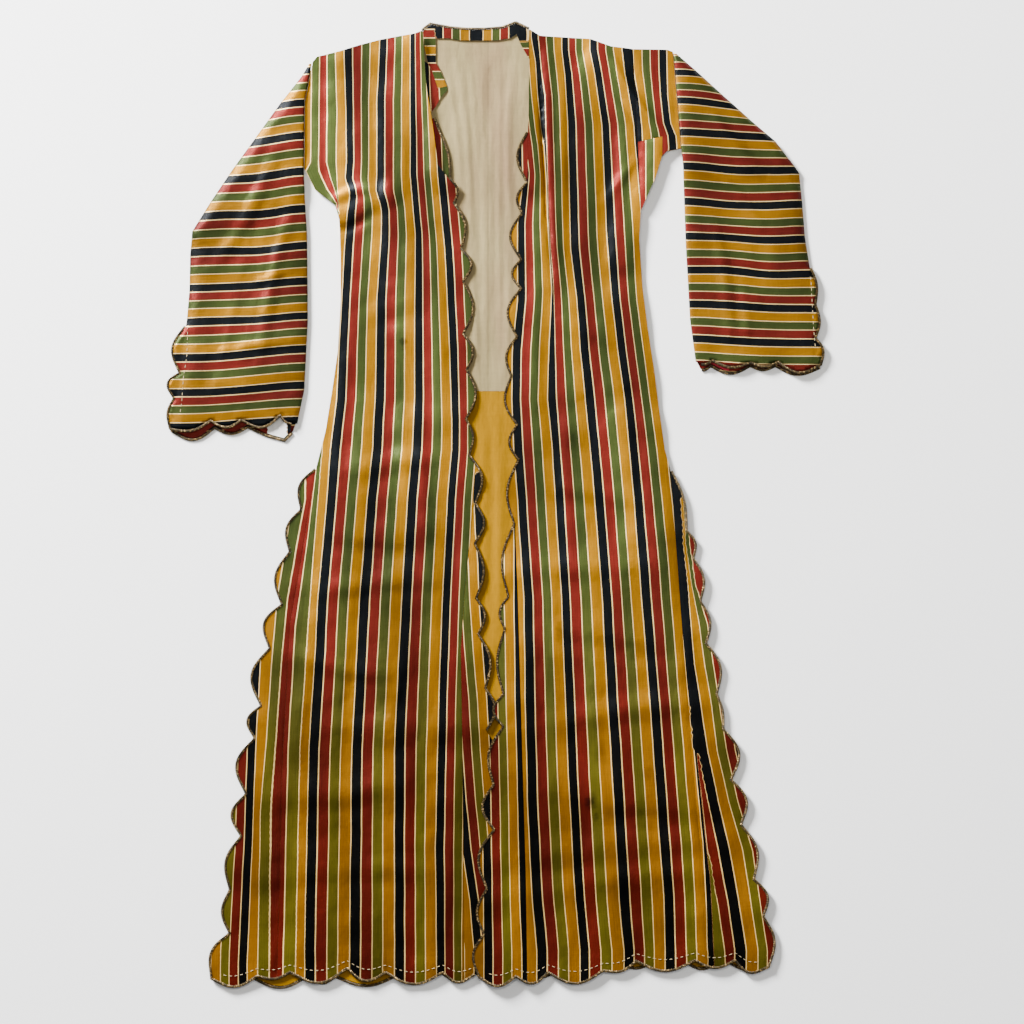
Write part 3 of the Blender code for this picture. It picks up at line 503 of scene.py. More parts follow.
def scalloped(notches, side=1):
    """Points along a scalloped edge. With side 1 the scallops bulge to the right of the run."""
    pieces = []
    for (x0, y0, depth), (x1, y1, _) in zip(notches, notches[1:]):
        t = np.arange(SCALLOP_STEPS)[:, None] / SCALLOP_STEPS
        chord = np.array((x1 - x0, y1 - y0), float)
        out = np.array((chord[1], -chord[0])) * side * depth / np.hypot(*chord)
        pieces.append((x0, y0) + chord * t + out * np.sin(np.pi * t) ** SCALLOP_ROUNDNESS)
    pieces.append([notches[-1][:2]])
    return np.vstack(pieces)


def plain(rows):
    return np.array(rows, float)


def join_runs(*runs):
    """One closed outline, counterclockwise, from runs of points without the ends they share."""
    points = np.vstack(runs).astype(float)
    step = np.linalg.norm(points - np.roll(points, 1, axis=0), axis=1)
    points = points[step > SHARED_END]
    return points if polygon_area(points) > 0 else points[::-1]


def polygon_area(points):
    after = np.roll(points, -1, axis=0)
    return 0.5 * np.sum(points[:, 0] * after[:, 1] - after[:, 0] * points[:, 1])


def left_normals(steps):
    lengths = np.linalg.norm(steps, axis=1)[:, None]
    return np.column_stack((-steps[:, 1], steps[:, 0])) / lengths


def shifted(points, distance, closed=False):
    """The same run of points, moved to its left by a distance, with mitred corners."""
    steps = np.diff(points, axis=0)
    if closed:
        steps = np.vstack((steps, points[:1] - points[-1:]))
        before, after = left_normals(np.roll(steps, 1, axis=0)), left_normals(steps)
    else:
        before = left_normals(np.vstack((steps[:1], steps)))
        after = left_normals(np.vstack((steps, steps[-1:])))
    bisector = before + after
    bisector /= np.linalg.norm(bisector, axis=1)[:, None]
    stretch = np.maximum(np.sum(bisector * before, axis=1), MITRE_LIMIT)[:, None]
    return points + bisector * distance / stretch


def refined(points, spacing):
    """A closed outline with points added so that none of its edges is longer than the spacing."""
    fine = []
    for a, b in zip(points, np.roll(points, -1, axis=0)):
        count = max(1, math.ceil(np.linalg.norm(b - a) / spacing))
        fine.append(a + (b - a) * np.arange(count)[:, None] / count)
    return np.vstack(fine)


def resampled(path, step):
    """Points along a run at an even step."""
    lengths = np.linalg.norm(np.diff(path, axis=0), axis=1)
    reach = np.concatenate(([0.0], np.cumsum(lengths)))
    places = np.arange(0.0, reach[-1], step)
    return np.column_stack([np.interp(places, reach, column) for column in path.T])


def inside(points, outline):
    crossings = np.zeros(len(points), bool)
    x, y = points.T
    for a, b in zip(outline, np.roll(outline, -1, axis=0)):
        if a[1] != b[1]:
            spans = (a[1] > y) != (b[1] > y)
            crossings ^= spans & (x < a[0] + (y - a[1]) * (b[0] - a[0]) / (b[1] - a[1]))
    return crossings


def distance_to_run(points, run):
    nearest = np.full(len(points), np.inf)
    run = plain(run)
    for a, b in zip(run, run[1:]):
        step = b - a
        t = np.clip((points - a) @ step / (step @ step), 0, 1)[:, None]
        nearest = np.minimum(nearest, np.linalg.norm(points - a - t * step, axis=1))
    return nearest


def inner_grid(outline, spacing):
    """Points on a triangular grid inside an outline, clear of its edge."""
    low, high = outline.min(axis=0), outline.max(axis=0)
    row_step = spacing * math.sqrt(3) / 2
    rows = []
    for index, y in enumerate(np.arange(low[1] + row_step / 2, high[1], row_step)):
        x = np.arange(low[0] + (index % 2) * spacing / 2, high[0], spacing)
        rows.append(np.column_stack((x, np.full(len(x), y))))
    points = np.vstack(rows)
    points = points[inside(points, outline)]
    closed = np.vstack((outline, outline[:1]))
    return points[distance_to_run(points, closed) > spacing * GRID_CLEARANCE]


def triangulated(outline, extra):
    """Triangles inside an outline, through the extra points too."""
    count = len(outline)
    edges = [(i, (i + 1) % count) for i in range(count)]
    corners = [Vector(p) for p in np.vstack((outline, extra))]
    found, _, faces, *_ = delaunay_2d_cdt(corners, edges, [], 0, 1e-4, False)
    points = np.array([tuple(p) for p in found])
    faces = np.array(faces)
    kept = faces[inside(points[faces].mean(axis=1), outline)]
    a, b, c = points[kept].transpose(1, 0, 2)
    turn = (b[:, 0] - a[:, 0]) * (c[:, 1] - a[:, 1]) - (b[:, 1] - a[:, 1]) * (c[:, 0] - a[:, 0])
    kept[turn < 0] = kept[turn < 0][:, ::-1]
    return points, kept


def cut_at(loop, height, keep_above):
    """The part of an outline above or below a level line that crosses it twice."""
    kept = []
    for a, b in zip(loop, np.roll(loop, -1, axis=0)):
        if (a[1] > height) == keep_above:
            kept.append(a)
        if (a[1] > height) != (b[1] > height):
            kept.append(a + (b - a) * (height - a[1]) / (b[1] - a[1]))
    return np.array(kept)


def cut_run(points, seam_x, keep_left):
    """The part of a hem on one side of a seam, with its end on the seam."""
    kept = []
    for index, a in enumerate(points):
        if (a[0] < seam_x) == keep_left:
            kept.append(a)
        if index + 1 < len(points):
            b = points[index + 1]
            if (a[0] < seam_x) != (b[0] < seam_x):
                kept.append(a + (b - a) * (seam_x - a[0]) / (b[0] - a[0]))
    return np.array(kept)


# Heights, in millimetres above the table

def ease(value, low, high):
    """0 below low, 1 above high, and smooth between them."""
    t = np.clip((value - low) / (high - low), 0, 1)
    return t * t * (3 - 2 * t)


def bump(distance, reach):
    return np.cos(np.minimum(distance / reach, 1.0) * math.pi / 2) ** 2


def folds(points):
    height = np.zeros(len(points))
    for x0, y0, x1, y1, reach, rise in FOLDS:
        height += rise * bump(distance_to_run(points, [(x0, y0), (x1, y1)]), reach)
    return height


def creases(points, rows):
    """Soft ridges and troughs that bend a little and fade out at both ends."""
    height = np.zeros(len(points))
    for x0, y0, x1, y1, reach, rise, bend in rows:
        start, run = np.array((x0, y0), float), np.array((x1 - x0, y1 - y0), float)
        length = np.hypot(*run)
        along = (points - start) @ run / length ** 2
        side = (points - start) @ np.array((-run[1], run[0])) / length
        t = np.clip(along, 0, 1)
        off_line = np.abs(side - bend * np.sin(math.pi * t))
        height += CREASE_GAIN * rise * bump(off_line, reach) * np.sin(math.pi * t) ** 0.7
    return height


def ripples(points, seed, size, rise):
    """Slight unevenness of hand-woven cloth, longer along the robe than across it."""
    draw = np.random.default_rng(seed)
    height = np.zeros(len(points))
    for _ in range(RIPPLE_WAVES):
        wave = size * draw.uniform(*WAVE_LENGTHS)
        angle = draw.normal(0.0, WAVE_SLANT)
        phase = draw.uniform(0, 2 * math.pi)
        across = points @ np.array((math.cos(angle), math.sin(angle) * WAVE_STRETCH))
        swell = 0.6 + 0.4 * np.sin(points[:, 1] / (wave * 2.3) + phase * 3)
        height += np.sin(across * 2 * math.pi / wave + phase) * swell * wave / size
    return height * rise / 5


def roll(points, line, low_y):
    near = bump(distance_to_run(points, line), ROLL_REACH)
    return ROLL_HEIGHT * near * ease(points[:, 1], low_y, low_y + ROLL_FADE)


def seam_dip(points, seams):
    dip = np.zeros(len(points))
    for seam in seams:
        dip = np.maximum(dip, bump(distance_to_run(points, seam), SEAM_DIP_REACH))
    return -SEAM_DIP * dip


def under_front_r(points):
    return FRONT_Z + folds(points) + roll(points, ROLL_R, ROLL_LOW_R)


def under_front_l(points):
    lap = (1 - ease(points[:, 0], *LAP_X)) * (1 - ease(points[:, 1], *LAP_Y))
    return FRONT_Z + folds(points) + roll(points, ROLL_L, ROLL_LOW_L) + LAP_LIFT * lap


def draped(under, rows, seams, seed):
    """A front's full height: its large folds with its creases, seams and unevenness."""
    def height(points):
        fine = creases(points, rows) + ripples(points, seed, *FRONT_RIPPLES) + seam_dip(points, seams)
        slack = ripples(points[:, ::-1], seed + 20, *SLACK_RIPPLES)
        return np.maximum(under(points) + LOFT + fine + slack, LINING_Z + LINEN)
    return height


def under_flat(height):
    return lambda points: np.full(len(points), float(height))


# Stripes

def stripe_places(points, lines, down=True):
    """Each point's place in the repeat of stripes, read between lines of known place.

    With down the lines run along the robe, with rows of y and x. Otherwise they run across it,
    with rows of x and y.
    """
    along, across = (points[:, 1], points[:, 0]) if down else (points[:, 0], points[:, 1])
    tables = [plain(rows) for _, rows in lines]
    taps = (0.0,) if down else SOFT_BENDS
    edges = np.array([
        np.mean([np.interp(along + tap, *table.T) for tap in taps], axis=0) for table in tables])
    places = np.array([place for place, _ in lines], float)
    index = np.clip(np.sum(edges <= across, axis=0), 1, len(lines) - 1)
    low = np.take_along_axis(edges, index[None] - 1, 0)[0]
    high = np.take_along_axis(edges, index[None], 0)[0]
    t = (across - low) / np.maximum(high - low, 0.5)
    place = places[index - 1] + t * (places[index] - places[index - 1])
    return np.column_stack((place, along * STRIPE_UNIT))


def striped(lines):
    return lambda points: stripe_places(points, lines)


def band_stripes(points):
    """Stripes across the neckband, with a mirrored seam at the middle of the back."""
    x, y = points.T
    back = np.interp(x, BAND_BACK_X, BAND_BACK_PLACES)
    right_arm = BAND_TOP_PLACE + (BAND_TOP_R - y) / BAND_REPEAT
    left_arm = -(BAND_TOP_L - y) / BAND_REPEAT
    arms = np.where(x > 0, left_arm, right_arm)
    place = np.where(x < BAND_CORNER_X, right_arm, np.where(y < BAND_ARM_Y, arms, back))
    return np.column_stack((place, (x + y) * STRIPE_UNIT))


# Materials

class Shader:
    """A new material with a Principled shader, and short ways to add nodes to it."""

    def __init__(self, name, roughness, metallic=0.0, sheen=0.0, specular=0.5):
        self.material = bpy.data.materials.new(name)
        self.material.use_nodes = True
        self.tree = self.material.node_tree
        self.surface = self.tree.nodes["Principled BSDF"]
        for socket, value in (("Roughness", roughness), ("Metallic", metallic), ("Sheen Weight", sheen),
                              ("Sheen Roughness", 0.4), ("Specular IOR Level", specular)):
            self.feed(self.surface.inputs[socket], value)
        self.place = self.node("TexCoord", {}, "Object")

    def feed(self, socket, value):
        if isinstance(value, bpy.types.NodeSocket):
            self.tree.links.new(value, socket)
        else:
            socket.default_value = (*value, 1.0) if socket.type == "RGBA" else value

    def node(self, kind, feeds, output=0, **settings):
        """An output of a new node that has its settings made and its sockets fed."""
        node = self.tree.nodes.new("ShaderNode" + kind)
        for name, value in settings.items():
            setattr(node, name, value)
        for socket, value in feeds.items():
            self.feed(node.inputs[socket], value)
        return node.outputs[output]

    def math(self, operation, a, b=0.0):
        return self.node("Math", {0: a, 1: b}, operation=operation)

    def times(self, product, *factors):
        for factor in factors:
            product = self.math("MULTIPLY", product, factor)
        return product

    def axis(self, index, vector=None):
        return self.node("SeparateXYZ", {0: vector or self.place}, index)

    def scaled(self, vector, scale):
        return self.node("VectorMath", {0: vector, 1: scale}, operation="MULTIPLY")

    def noise(self, scale, stretch=(1, 1, 1), detail=3.0, vector=None):
        stretched = self.scaled(vector or self.place, stretch)
        return self.node("TexNoise", {"Vector": stretched, "Scale": scale, "Detail": detail})

    def ranged(self, value, low, high, out_low, out_high, smooth=False):
        return self.node("MapRange", {0: value, 1: low, 2: high, 3: out_low, 4: out_high},
                         interpolation_type="SMOOTHSTEP" if smooth else "LINEAR")

    def ramp(self, value, stops, interpolation="LINEAR"):
        node = self.tree.nodes.new("ShaderNodeValToRGB")
        node.color_ramp.interpolation = interpolation
        elements = node.color_ramp.elements
        while len(elements) < len(stops):
            elements.new(1.0)
        for element, (position, colour) in zip(elements, stops):
            element.position = position
            element.color = (*colour, 1.0)
        self.feed(node.inputs[0], value)
        return node.outputs[0]

    def mix(self, share, a, b):
        """One colour turning into another."""
        return self.node("Mix", {0: share, 6: a, 7: b}, 2, data_type="RGBA")

    def shade(self, colour, factor):
        """A colour multiplied by a number from a node."""
        return self.node("VectorMath", {0: colour, "Scale": factor}, operation="SCALE")

    def weave(self, pitch):
        """Height of a plain weave with threads a pitch apart, in metres."""
        turns = 2 * math.pi / pitch
        return self.times(*(self.math("SINE", self.times(self.axis(index), turns)) for index in (0, 1)))

    def raise_by(self, height, distance, strength, normal=None):
        feeds = {"Distance": distance, "Strength": strength, "Height": height}
        if normal is not None:
            feeds["Normal"] = normal
        return self.node("Bump", feeds)

    def finish(self, colour, normal=None, roughness=None):
        for socket, value in (("Base Color", colour), ("Normal", normal), ("Roughness", roughness)):
            if value is not None:
                self.feed(self.surface.inputs[socket], value)
        return self.material


def satin_material(name, dim):
    shader = Shader(name, roughness=0.36, metallic=0.5, specular=0.10)
    stripes = shader.node("UVMap", {}, uv_map="stripes")
    wander = shader.ranged(shader.noise(14.0, detail=2.0), 0.2, 0.8, -0.009, 0.009)
    repeat = shader.math("FRACT", shader.math("ADD", shader.axis(0, stripes), wander))
    # painted shade: lower down the stripes take the darker copies of their colours, standing in for light
    # that falls off towards the hem
    low = shader.ranged(shader.axis(1), *SHADED_SKIRT, 1.0, 0.0, smooth=True)
    colour = shader.mix(low, shader.ramp(repeat, REPEAT, "CONSTANT"),
                        shader.ramp(repeat, REPEAT_SHADED, "CONSTANT"))

    threads = shader.noise(1.0, (70.0, 1.6, 1.0), 2.0, stripes)
    picks = shader.noise(1.0, (2.0, 90.0, 1.0), 2.0, stripes)
    clouds = shader.noise(7.0)
    # painted sheen: broad lighter and darker patches multiplied into the colour, standing in for the
    # satin's sheen on its folds
    sheen = shader.noise(5.0, (1.9, 0.7, 1.0), 2.0)
    shade = shader.times(
        shader.ranged(threads, 0.25, 0.75, 0.80, 1.20),
        shader.ranged(clouds, 0.3, 0.7, 0.90 * dim, 1.08 * dim),
        shader.ranged(sheen, 0.32, 0.68, 0.66, 1.28, smooth=True),
        shader.ranged(picks, 0.3, 0.7, 0.94, 1.05))
    squashed = shader.scaled(shader.place, (1, STAIN_SQUASH, 0))
    ragged = shader.ranged(shader.noise(120.0, detail=5.0), 0.2, 0.8, -0.004, 0.004)
    for x, y, radius, strength in STAINS:
        middle = ((x - CENTRE[0]) * MM, (y - CENTRE[1]) * MM * STAIN_SQUASH, 0)
        off = shader.node("VectorMath", {0: squashed, 1: middle}, "Value", operation="DISTANCE")
        darker = shader.ranged(shader.math("ADD", off, ragged), 0.0, radius * MM, 1 - strength, 1.0, True)
        shade = shader.times(shade, darker)

    crumple = shader.raise_by(shader.noise(24.0, (1.2, 0.9, 1.0)), 0.0036, 0.6)
    wrinkle = shader.raise_by(shader.noise(85.0, (1.0, 0.7, 1.0), 2.0), 0.0009, 0.5, crumple)
    weave = shader.raise_by(shader.weave(0.0007), 0.00008, 0.5, wrinkle)
    roughness = shader.ranged(clouds, 0.3, 0.7, 0.32, 0.42)
    return shader.finish(shader.shade(colour, shade), weave, roughness)


def plain_cloth_material(name, colour, seam_x=None, blotch=0.10, tint=None):
    shader = Shader(name, roughness=0.85, specular=0.03)
    shade = shader.times(
        shader.ranged(shader.noise(8.0, (1.6, 0.6, 1.0)), 0.3, 0.7, 1 - blotch, 1 + blotch / 2),
        shader.ranged(shader.noise(300.0, (1.0, 0.12, 1.0)), 0.25, 0.75, 0.93, 1.06),
        shader.ranged(shader.noise(300.0, (0.12, 1.0, 1.0)), 0.25, 0.75, 0.95, 1.04))
    if seam_x is not None:
        off = shader.math("SUBTRACT", shader.axis(0), (seam_x - CENTRE[0]) * MM)
        off = shader.math("ABSOLUTE", off)
        shade = shader.times(shade, shader.ranged(off, 0.0003, 0.0016, 0.82, 1.0, smooth=True))
    if tint is not None:
        warmer = shader.ranged(shader.noise(6.0, (1.8, 0.5, 1.0)), 0.4, 0.7, 0.0, 1.0, smooth=True)
        colour = shader.mix(warmer, colour, tint)
    crumple = shader.raise_by(shader.noise(30.0, (1.4, 0.5, 1.0)), 0.0040, 0.7)
    weave = shader.raise_by(shader.weave(0.0011), 0.0002, 0.6, crumple)
    return shader.finish(shader.shade(colour, shade), weave)


def braid_material():
    shader = Shader("tarnished_braid", roughness=0.50, metallic=0.45, specular=0.25)
    specks = shader.noise(420.0, detail=2.0)
    tarnish = shader.ranged(shader.noise(25.0, detail=2.0), 0.3, 0.7, 0.65, 1.35)
    colour = shader.shade(shader.ramp(specks, BRAID_SPECKS), tarnish)
    return shader.finish(colour, shader.raise_by(specks, 0.0006, 0.6))


def thread_material():
    shader = Shader("cream_thread", roughness=0.7, sheen=0.2)
    twist = shader.noise(900.0)
    colour = shader.shade(THREAD, shader.ranged(twist, 0.3, 0.7, 0.8, 1.1))
    return shader.finish(colour, shader.raise_by(twist, 0.0002, 0.5))


def floor_material():
    shader = Shader("pale_floor", roughness=0.9, specular=0.1)
    grain = shader.ranged(shader.noise(3.0), 0.3, 0.7, 0.985, 1.0)
    return shader.finish(shader.shade(FLOOR_COLOUR, grain))


# Pieces

UP = np.array((0.0, 0.0, 1.0))
SHARP_ANGLE = math.radians(50)


def make_object(name, corners, faces, material, uv=None):
    mesh = bpy.data.meshes.new(name)
    mesh.from_pydata(((corners - CENTRE) * MM).tolist(), [], faces)
    if uv is not None:
        layer = mesh.uv_layers.new(name="stripes")
        index = np.zeros(len(mesh.loops), np.int32)
        mesh.loops.foreach_get("vertex_index", index)
        layer.uv.foreach_set("vector", uv[index].astype(np.float32).ravel())
    mesh.materials.append(material)
    mesh.shade_smooth()
    mesh.set_sharp_from_angle(angle=SHARP_ANGLE)
    obj = bpy.data.objects.new(name, mesh)
    bpy.context.scene.collection.objects.link(obj)
    return obj


def shell_faces(faces, count):
    """Faces of a closed shell: the sheet below, its copy above and the rim between them."""
    edges = np.vstack((faces[:, (0, 1)], faces[:, (1, 2)], faces[:, (2, 0)]))
    known = set(map(tuple, edges.tolist()))
    rim = [(a, b, b + count, a + count) for a, b in known if (b, a) not in known]
    return faces[:, ::-1].tolist() + (faces + count).tolist() + sorted(rim)


def layer_corners(points, under, thickness):
    """A sheet's lower points and the copy of them above."""
    low = np.column_stack((points, under))
    high = np.column_stack((points, under + thickness))
    return np.vstack((low, high))


def declare(obj, node):
    """Ties a piece to its CAD node: puts it under the root body and hides that node."""
    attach(obj, "root")
    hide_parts(node)
    return obj


def with_guides(outline, grid, guides):
    """A panel's inner points with rows of guide points put among them."""
    rows = guides[inside(guides, outline)]
    rows = rows[distance_to_run(rows, np.vstack((outline, outline[:1]))) > GUIDE_EDGE_GAP]
    apart = np.linalg.norm(grid[:, None] - rows[None], axis=2).min(axis=1)
    return np.vstack((grid[apart > GUIDE_SPACING * GUIDE_CLEARANCE], rows))


def guide_rows(line, low_y, high_y, offsets):
    """Rows of points beside the part of a stripe line that lies between two heights."""
    table = plain(line)
    y = np.arange(low_y, high_y, GUIDE_SPACING)
    x = np.interp(y, table[:, 0], table[:, 1])
    return np.vstack([np.column_stack((x + offset, y)) for offset in offsets])


def panel(node, loop, height, stripes=None, look="satin", thickness=SILK, spacing=FINE,
          guides=None):
    """A flat-cut panel as a thin closed shell, in place of the CAD node of that name."""
    outline = refined(shifted(loop, GAP / 2, closed=True), spacing)
    grid = inner_grid(outline, spacing)
    if guides is not None:
        grid = with_guides(outline, grid, guides)
    points, faces = triangulated(outline, grid)
    uv = stripes(points) if stripes else points * STRIPE_UNIT
    obj = make_object(node + "_cloth", layer_corners(points, height(points), thickness),
                      shell_faces(faces, len(points)), looks[look], np.vstack((uv, uv)))
    return declare(obj, node)


def tube_faces(rings, sides, start):
    faces = []
    for ring in range(rings - 1):
        for side in range(sides):
            a = start + ring * sides + side
            b = start + ring * sides + (side + 1) % sides
            faces.append((a, b, b + sides, a + sides))
    faces.append(tuple(range(start + sides - 1, start - 1, -1)))
    faces.append(tuple(range(start + (rings - 1) * sides, start + rings * sides)))
    return faces


def side_directions(line):
    run = np.gradient(line, axis=0)
    side = np.column_stack((-run[:, 1], run[:, 0], np.zeros(len(line))))
    return side / np.linalg.norm(side, axis=1)[:, None]


def ring_round(side, sides, width, height):
    """The corners of a tube's rings, from the middle of each ring."""
    turn = np.arange(sides) * 2 * math.pi / sides
    return side[:, None] * np.cos(turn)[:, None] * width + UP * np.sin(turn)[:, None] * height


def twisted_cord(path, width, height):
    """Two strands twisted round each other along a path of points in space."""
    line = resampled(path, TWIST / TWIST_STEPS)
    side = side_directions(line)
    around = ring_round(side, STRAND_SIDES, width * STRAND_RADIUS, height * STRAND_RADIUS)
    corners, faces = [], []
    for strand in range(2):
        turn = (np.arange(len(line)) * 2 * math.pi / TWIST_STEPS + strand * math.pi)[:, None]
        centre = line + (side * np.cos(turn) * width + UP * np.sin(turn) * height) * STRAND_OFFSET
        faces += tube_faces(len(line), STRAND_SIDES, strand * len(line) * STRAND_SIDES)
        corners.append((centre[:, None] + around).reshape(-1, 3))
    return np.vstack(corners), faces


def braid(node, run, side, under, height=BRAID_HEIGHT):
    """Braid sewn along an edge, to the left of the run with side 1 and to its right with -1."""
    line = shifted(run, side * (GAP + BRAID_WIDTH / 2 - CORD_TUCK))
    path = np.column_stack((line, under(line) + height / 2))
    corners, faces = twisted_cord(path, CORD_WIDTH, height)
    declare(make_object(node + "_cord", corners, faces, looks["braid"]), node)


def running_stitch(name, run, surface):
    """A row of short stitches that lies on the cloth. Each one takes three of every four points."""
    line = resampled(run, (STITCH_LENGTH + STITCH_GAP) / 4)
    path = np.column_stack((line, surface(line) + STITCH_LIFT))
    around = ring_round(side_directions(path), STITCH_SIDES, 1.0, 1.0)
    width = np.array((STITCH_TAPER, 1.0, STITCH_TAPER))[:, None, None] * STITCH_RADIUS
    corners, faces = [], []
    for start in range(0, len(path) - 2, 4):
        stitch = slice(start, start + 3)
        faces += tube_faces(3, STITCH_SIDES, len(corners) * 3 * STITCH_SIDES)
        corners.append((path[stitch, None] + around[stitch] * width).reshape(-1, 3))
    obj = make_object(name, np.vstack(corners), faces, looks["thread"])
    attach(obj, "root")


def hem_stitches(name, notches, span, height):
    raised = [(x, y + HEM_STITCH_RISE, depth * HEM_STITCH_SHARE) for x, y, depth in notches]
    run = scalloped(raised)
    run = run[(run[:, 0] > span[0]) & (run[:, 0] < span[1])]
    running_stitch(name, run, lambda points: height(points) + SILK)


# The body of the robe


def creased_lining(rows):
    return lambda points: LINING_Z + np.maximum(creases(points, rows), 0)


def build_back():
    hem = scalloped(HEM_BACK)
    loop = join_runs(
        SHOULDER_R, ARMHOLE_R, SIDE_R, scalloped(VENT_R), hem, scalloped(VENT_L, -1)[::-1],
        SIDE_L[::-1], ARMHOLE_L[::-1], SHOULDER_L[::-1], BAND_OUTER[4:][::-1])
    panel("back", loop, under_flat(0.0), striped(BACK_STRIPES), spacing=BACK_SPACING)
    lining = shifted(loop, LINING_INSET, closed=True)
    panel("back_lining_upper", cut_at(lining, LINING_CHANGE, True), creased_lining(CREASES_LINEN),
          look="linen", thickness=BODY_LINING)
    panel("back_lining_lower", cut_at(lining, LINING_CHANGE, False), creased_lining(CREASES_COTTON),
          look="cotton_yellow", thickness=BODY_LINING, spacing=COTTON_SPACING)
    braid("braid_back", hem, -1, under_flat(GAP))


def turned_facing(suffix, turned, hidden, side, stripes):
    """A front's narrow facing, turned out at the neck, with its braid."""
    height = under_flat(FRONT_Z)
    panel("front_turn_" + suffix, join_runs(turned, hidden), height, striped(stripes))
    braid("braid_turn_" + suffix, turned, side, height)


def join_sides(right, outer, hem, inner):
    """An outline from its outer run, its hem and its inner run. Both runs go down to the hem."""
    if right:
        return join_runs(outer, hem, inner[::-1])
    return join_runs(inner, hem, outer[::-1])


def front_and_gores(suffix, edge, hem, vent, outer, rolled, centre_seam, side_seam, height, stripes,
                    guides, gore_guides=None):
    """A front's main panel and its two gores. The outer runs go from the shoulder to the side seam."""
    right = suffix == "r"
    side_x = side_seam[-1][0]
    centre_x = centre_seam[-1][0]
    top = int(np.argmin(np.linalg.norm(edge - plain(centre_seam[0]), axis=1)))
    middle_hem = cut_run(cut_run(hem, side_x, not right), centre_x, right)
    main = join_sides(right, np.vstack((*outer, side_seam)), middle_hem,
                      np.vstack((rolled, edge[:top + 1], centre_seam)))
    side_gore = join_sides(right, vent, cut_run(hem, side_x, right), side_seam)
    centre_gore = join_sides(right, centre_seam, cut_run(hem, centre_x, not right), edge[top:])
    front_lines, side_lines, centre_lines = stripes
    panel("front_" + suffix, main, height, striped(front_lines), guides=guides)
    panel("side_gore_" + suffix, side_gore, height, striped(side_lines), guides=gore_guides)
    panel("centre_gore_" + suffix, centre_gore, height, striped(centre_lines))


def build_front_r():
    edge = scalloped(EDGE_R, -1)
    hem = scalloped(HEM_R)
    vent = scalloped(VENT_R)
    height = draped(under_front_r, CREASES_R, [SEAM_CENTRE_R, SEAM_SIDE_R, SEAM_STRIP_R], seed=3)
    lines = dict(FRONT_R_STRIPES)
    guides = np.vstack((
        guide_rows(lines[-0.62], *ARMPIT_Y, (-4.0, 0.0)),
        guide_rows(lines[-0.26], *ARMPIT_Y, (0.0, GUIDE_SPACING)),
        guide_rows(lines[3.74], *GORE_TOP_Y, (0.0,)),
        guide_rows(lines[4], *GORE_TOP_Y, (0.0, GUIDE_SPACING))))
    stripes = (STRIP_R_STRIPES + FRONT_R_STRIPES, SIDE_GORE_R_STRIPES, CENTRE_GORE_R_STRIPES)
    front_and_gores("r", edge, hem, vent, (SHOULDER_R, ARMHOLE_R, SIDE_R), ROLL_R,
                    SEAM_CENTRE_R, SEAM_SIDE_R, height, stripes, guides)
    braid("braid_edge_r", edge[edge[:, 1] > LAP_HIDES_Y], 1, height)
    braid("braid_skirt_r", np.vstack((vent[:-1], hem[hem[:, 0] < SKIRT_BRAID_X])), -1, height)
    hem_stitches("stitches_hem_r", HEM_R, HEM_STITCH_X_R, height)
    turned_facing("r", scalloped(TURN_R, -1), TURN_BACK_R, 1, TURN_STRIPES_R)


def build_front_l():
    edge = scalloped(EDGE_L)
    hem = scalloped(HEM_L)
    vent = scalloped(VENT_L, -1)
    panel_x = SEAM_PANEL_L[0][0]
    shoulder = [row for row in SHOULDER_L if row[0] <= panel_x]
    outer_shoulder = [row for row in SHOULDER_L if row[0] >= panel_x]
    side = SIDE_L[SIDE_L.index(SEAM_PANEL_L[-1]):]
    seams = [SEAM_CENTRE_L, SEAM_SIDE_L, SEAM_PANEL_L, SEAM_GUSSET_L]
    height = draped(under_front_l, CREASES_L, seams, seed=5)
    lines = dict(FRONT_L_STRIPES)
    tuck_y = (TUCK_LOW_Y, SHOULDER_L[0][1])
    guides = np.vstack((guide_rows(lines[1], *tuck_y, (-GUIDE_SPACING, 0.0)),
                        guide_rows(lines[1.247], *tuck_y, (0.0, GUIDE_SPACING))))
    gore_guides = np.vstack((guide_rows(SIDE_GORE_L_EDGE, *GORE_JUMP_Y, (-JUMP, JUMP)),
                             guide_rows(SIDE_GORE_L_STRIPES[1][1], *GORE_CROWD_Y, (0.0,))))
    stripes = (FRONT_L_STRIPES, SIDE_GORE_L_STRIPES, CENTRE_GORE_L_STRIPES)
    front_and_gores("l", edge, hem, vent, (shoulder, SEAM_PANEL_L, side), ROLL_L,
                    SEAM_CENTRE_L, SEAM_SIDE_L, height, stripes, guides, gore_guides)
    side_panel = join_runs(
        SEAM_PANEL_L[:3], SEAM_GUSSET_L, SIDE_L[:3][::-1], ARMHOLE_L[::-1], outer_shoulder[::-1])
    panel("side_panel_l", side_panel, height, striped(SIDE_PANEL_L_STRIPES))
    gusset = join_runs(SEAM_GUSSET_L, SIDE_L[2:5], SEAM_PANEL_L[2:][::-1])
    panel("gusset_l", gusset, height, striped(GUSSET_L_STRIPES))
    braid("braid_front_l", np.vstack((edge[:-1], hem[:-1], vent[::-1])), -1, height)
    hem_stitches("stitches_hem_l", HEM_L, HEM_STITCH_X_L, height)
    turned_facing("l", scalloped(TURN_L), TURN_BACK_L, -1, TURN_STRIPES_L)


def build_neck():
    height = under_flat(FRONT_Z)
    panel("neckband", join_runs(BAND_OUTER, BAND_INNER), height, band_stripes,
          spacing=SMALL_SPACING)
    braid("braid_neck", plain(BAND_OUTER[4:]), 1, height)
    panel("neck_corner_r", join_runs(NECK_CORNER), height, striped(TURN_STRIPES_R),
          spacing=SMALL_SPACING)


# The sleeves

def edge_x(rows, y):
    """x of a sleeve's edge at a height, from its table."""
    table = plain(rows)[::-1]
    return np.interp(y, table[:, 1], table[:, 0])


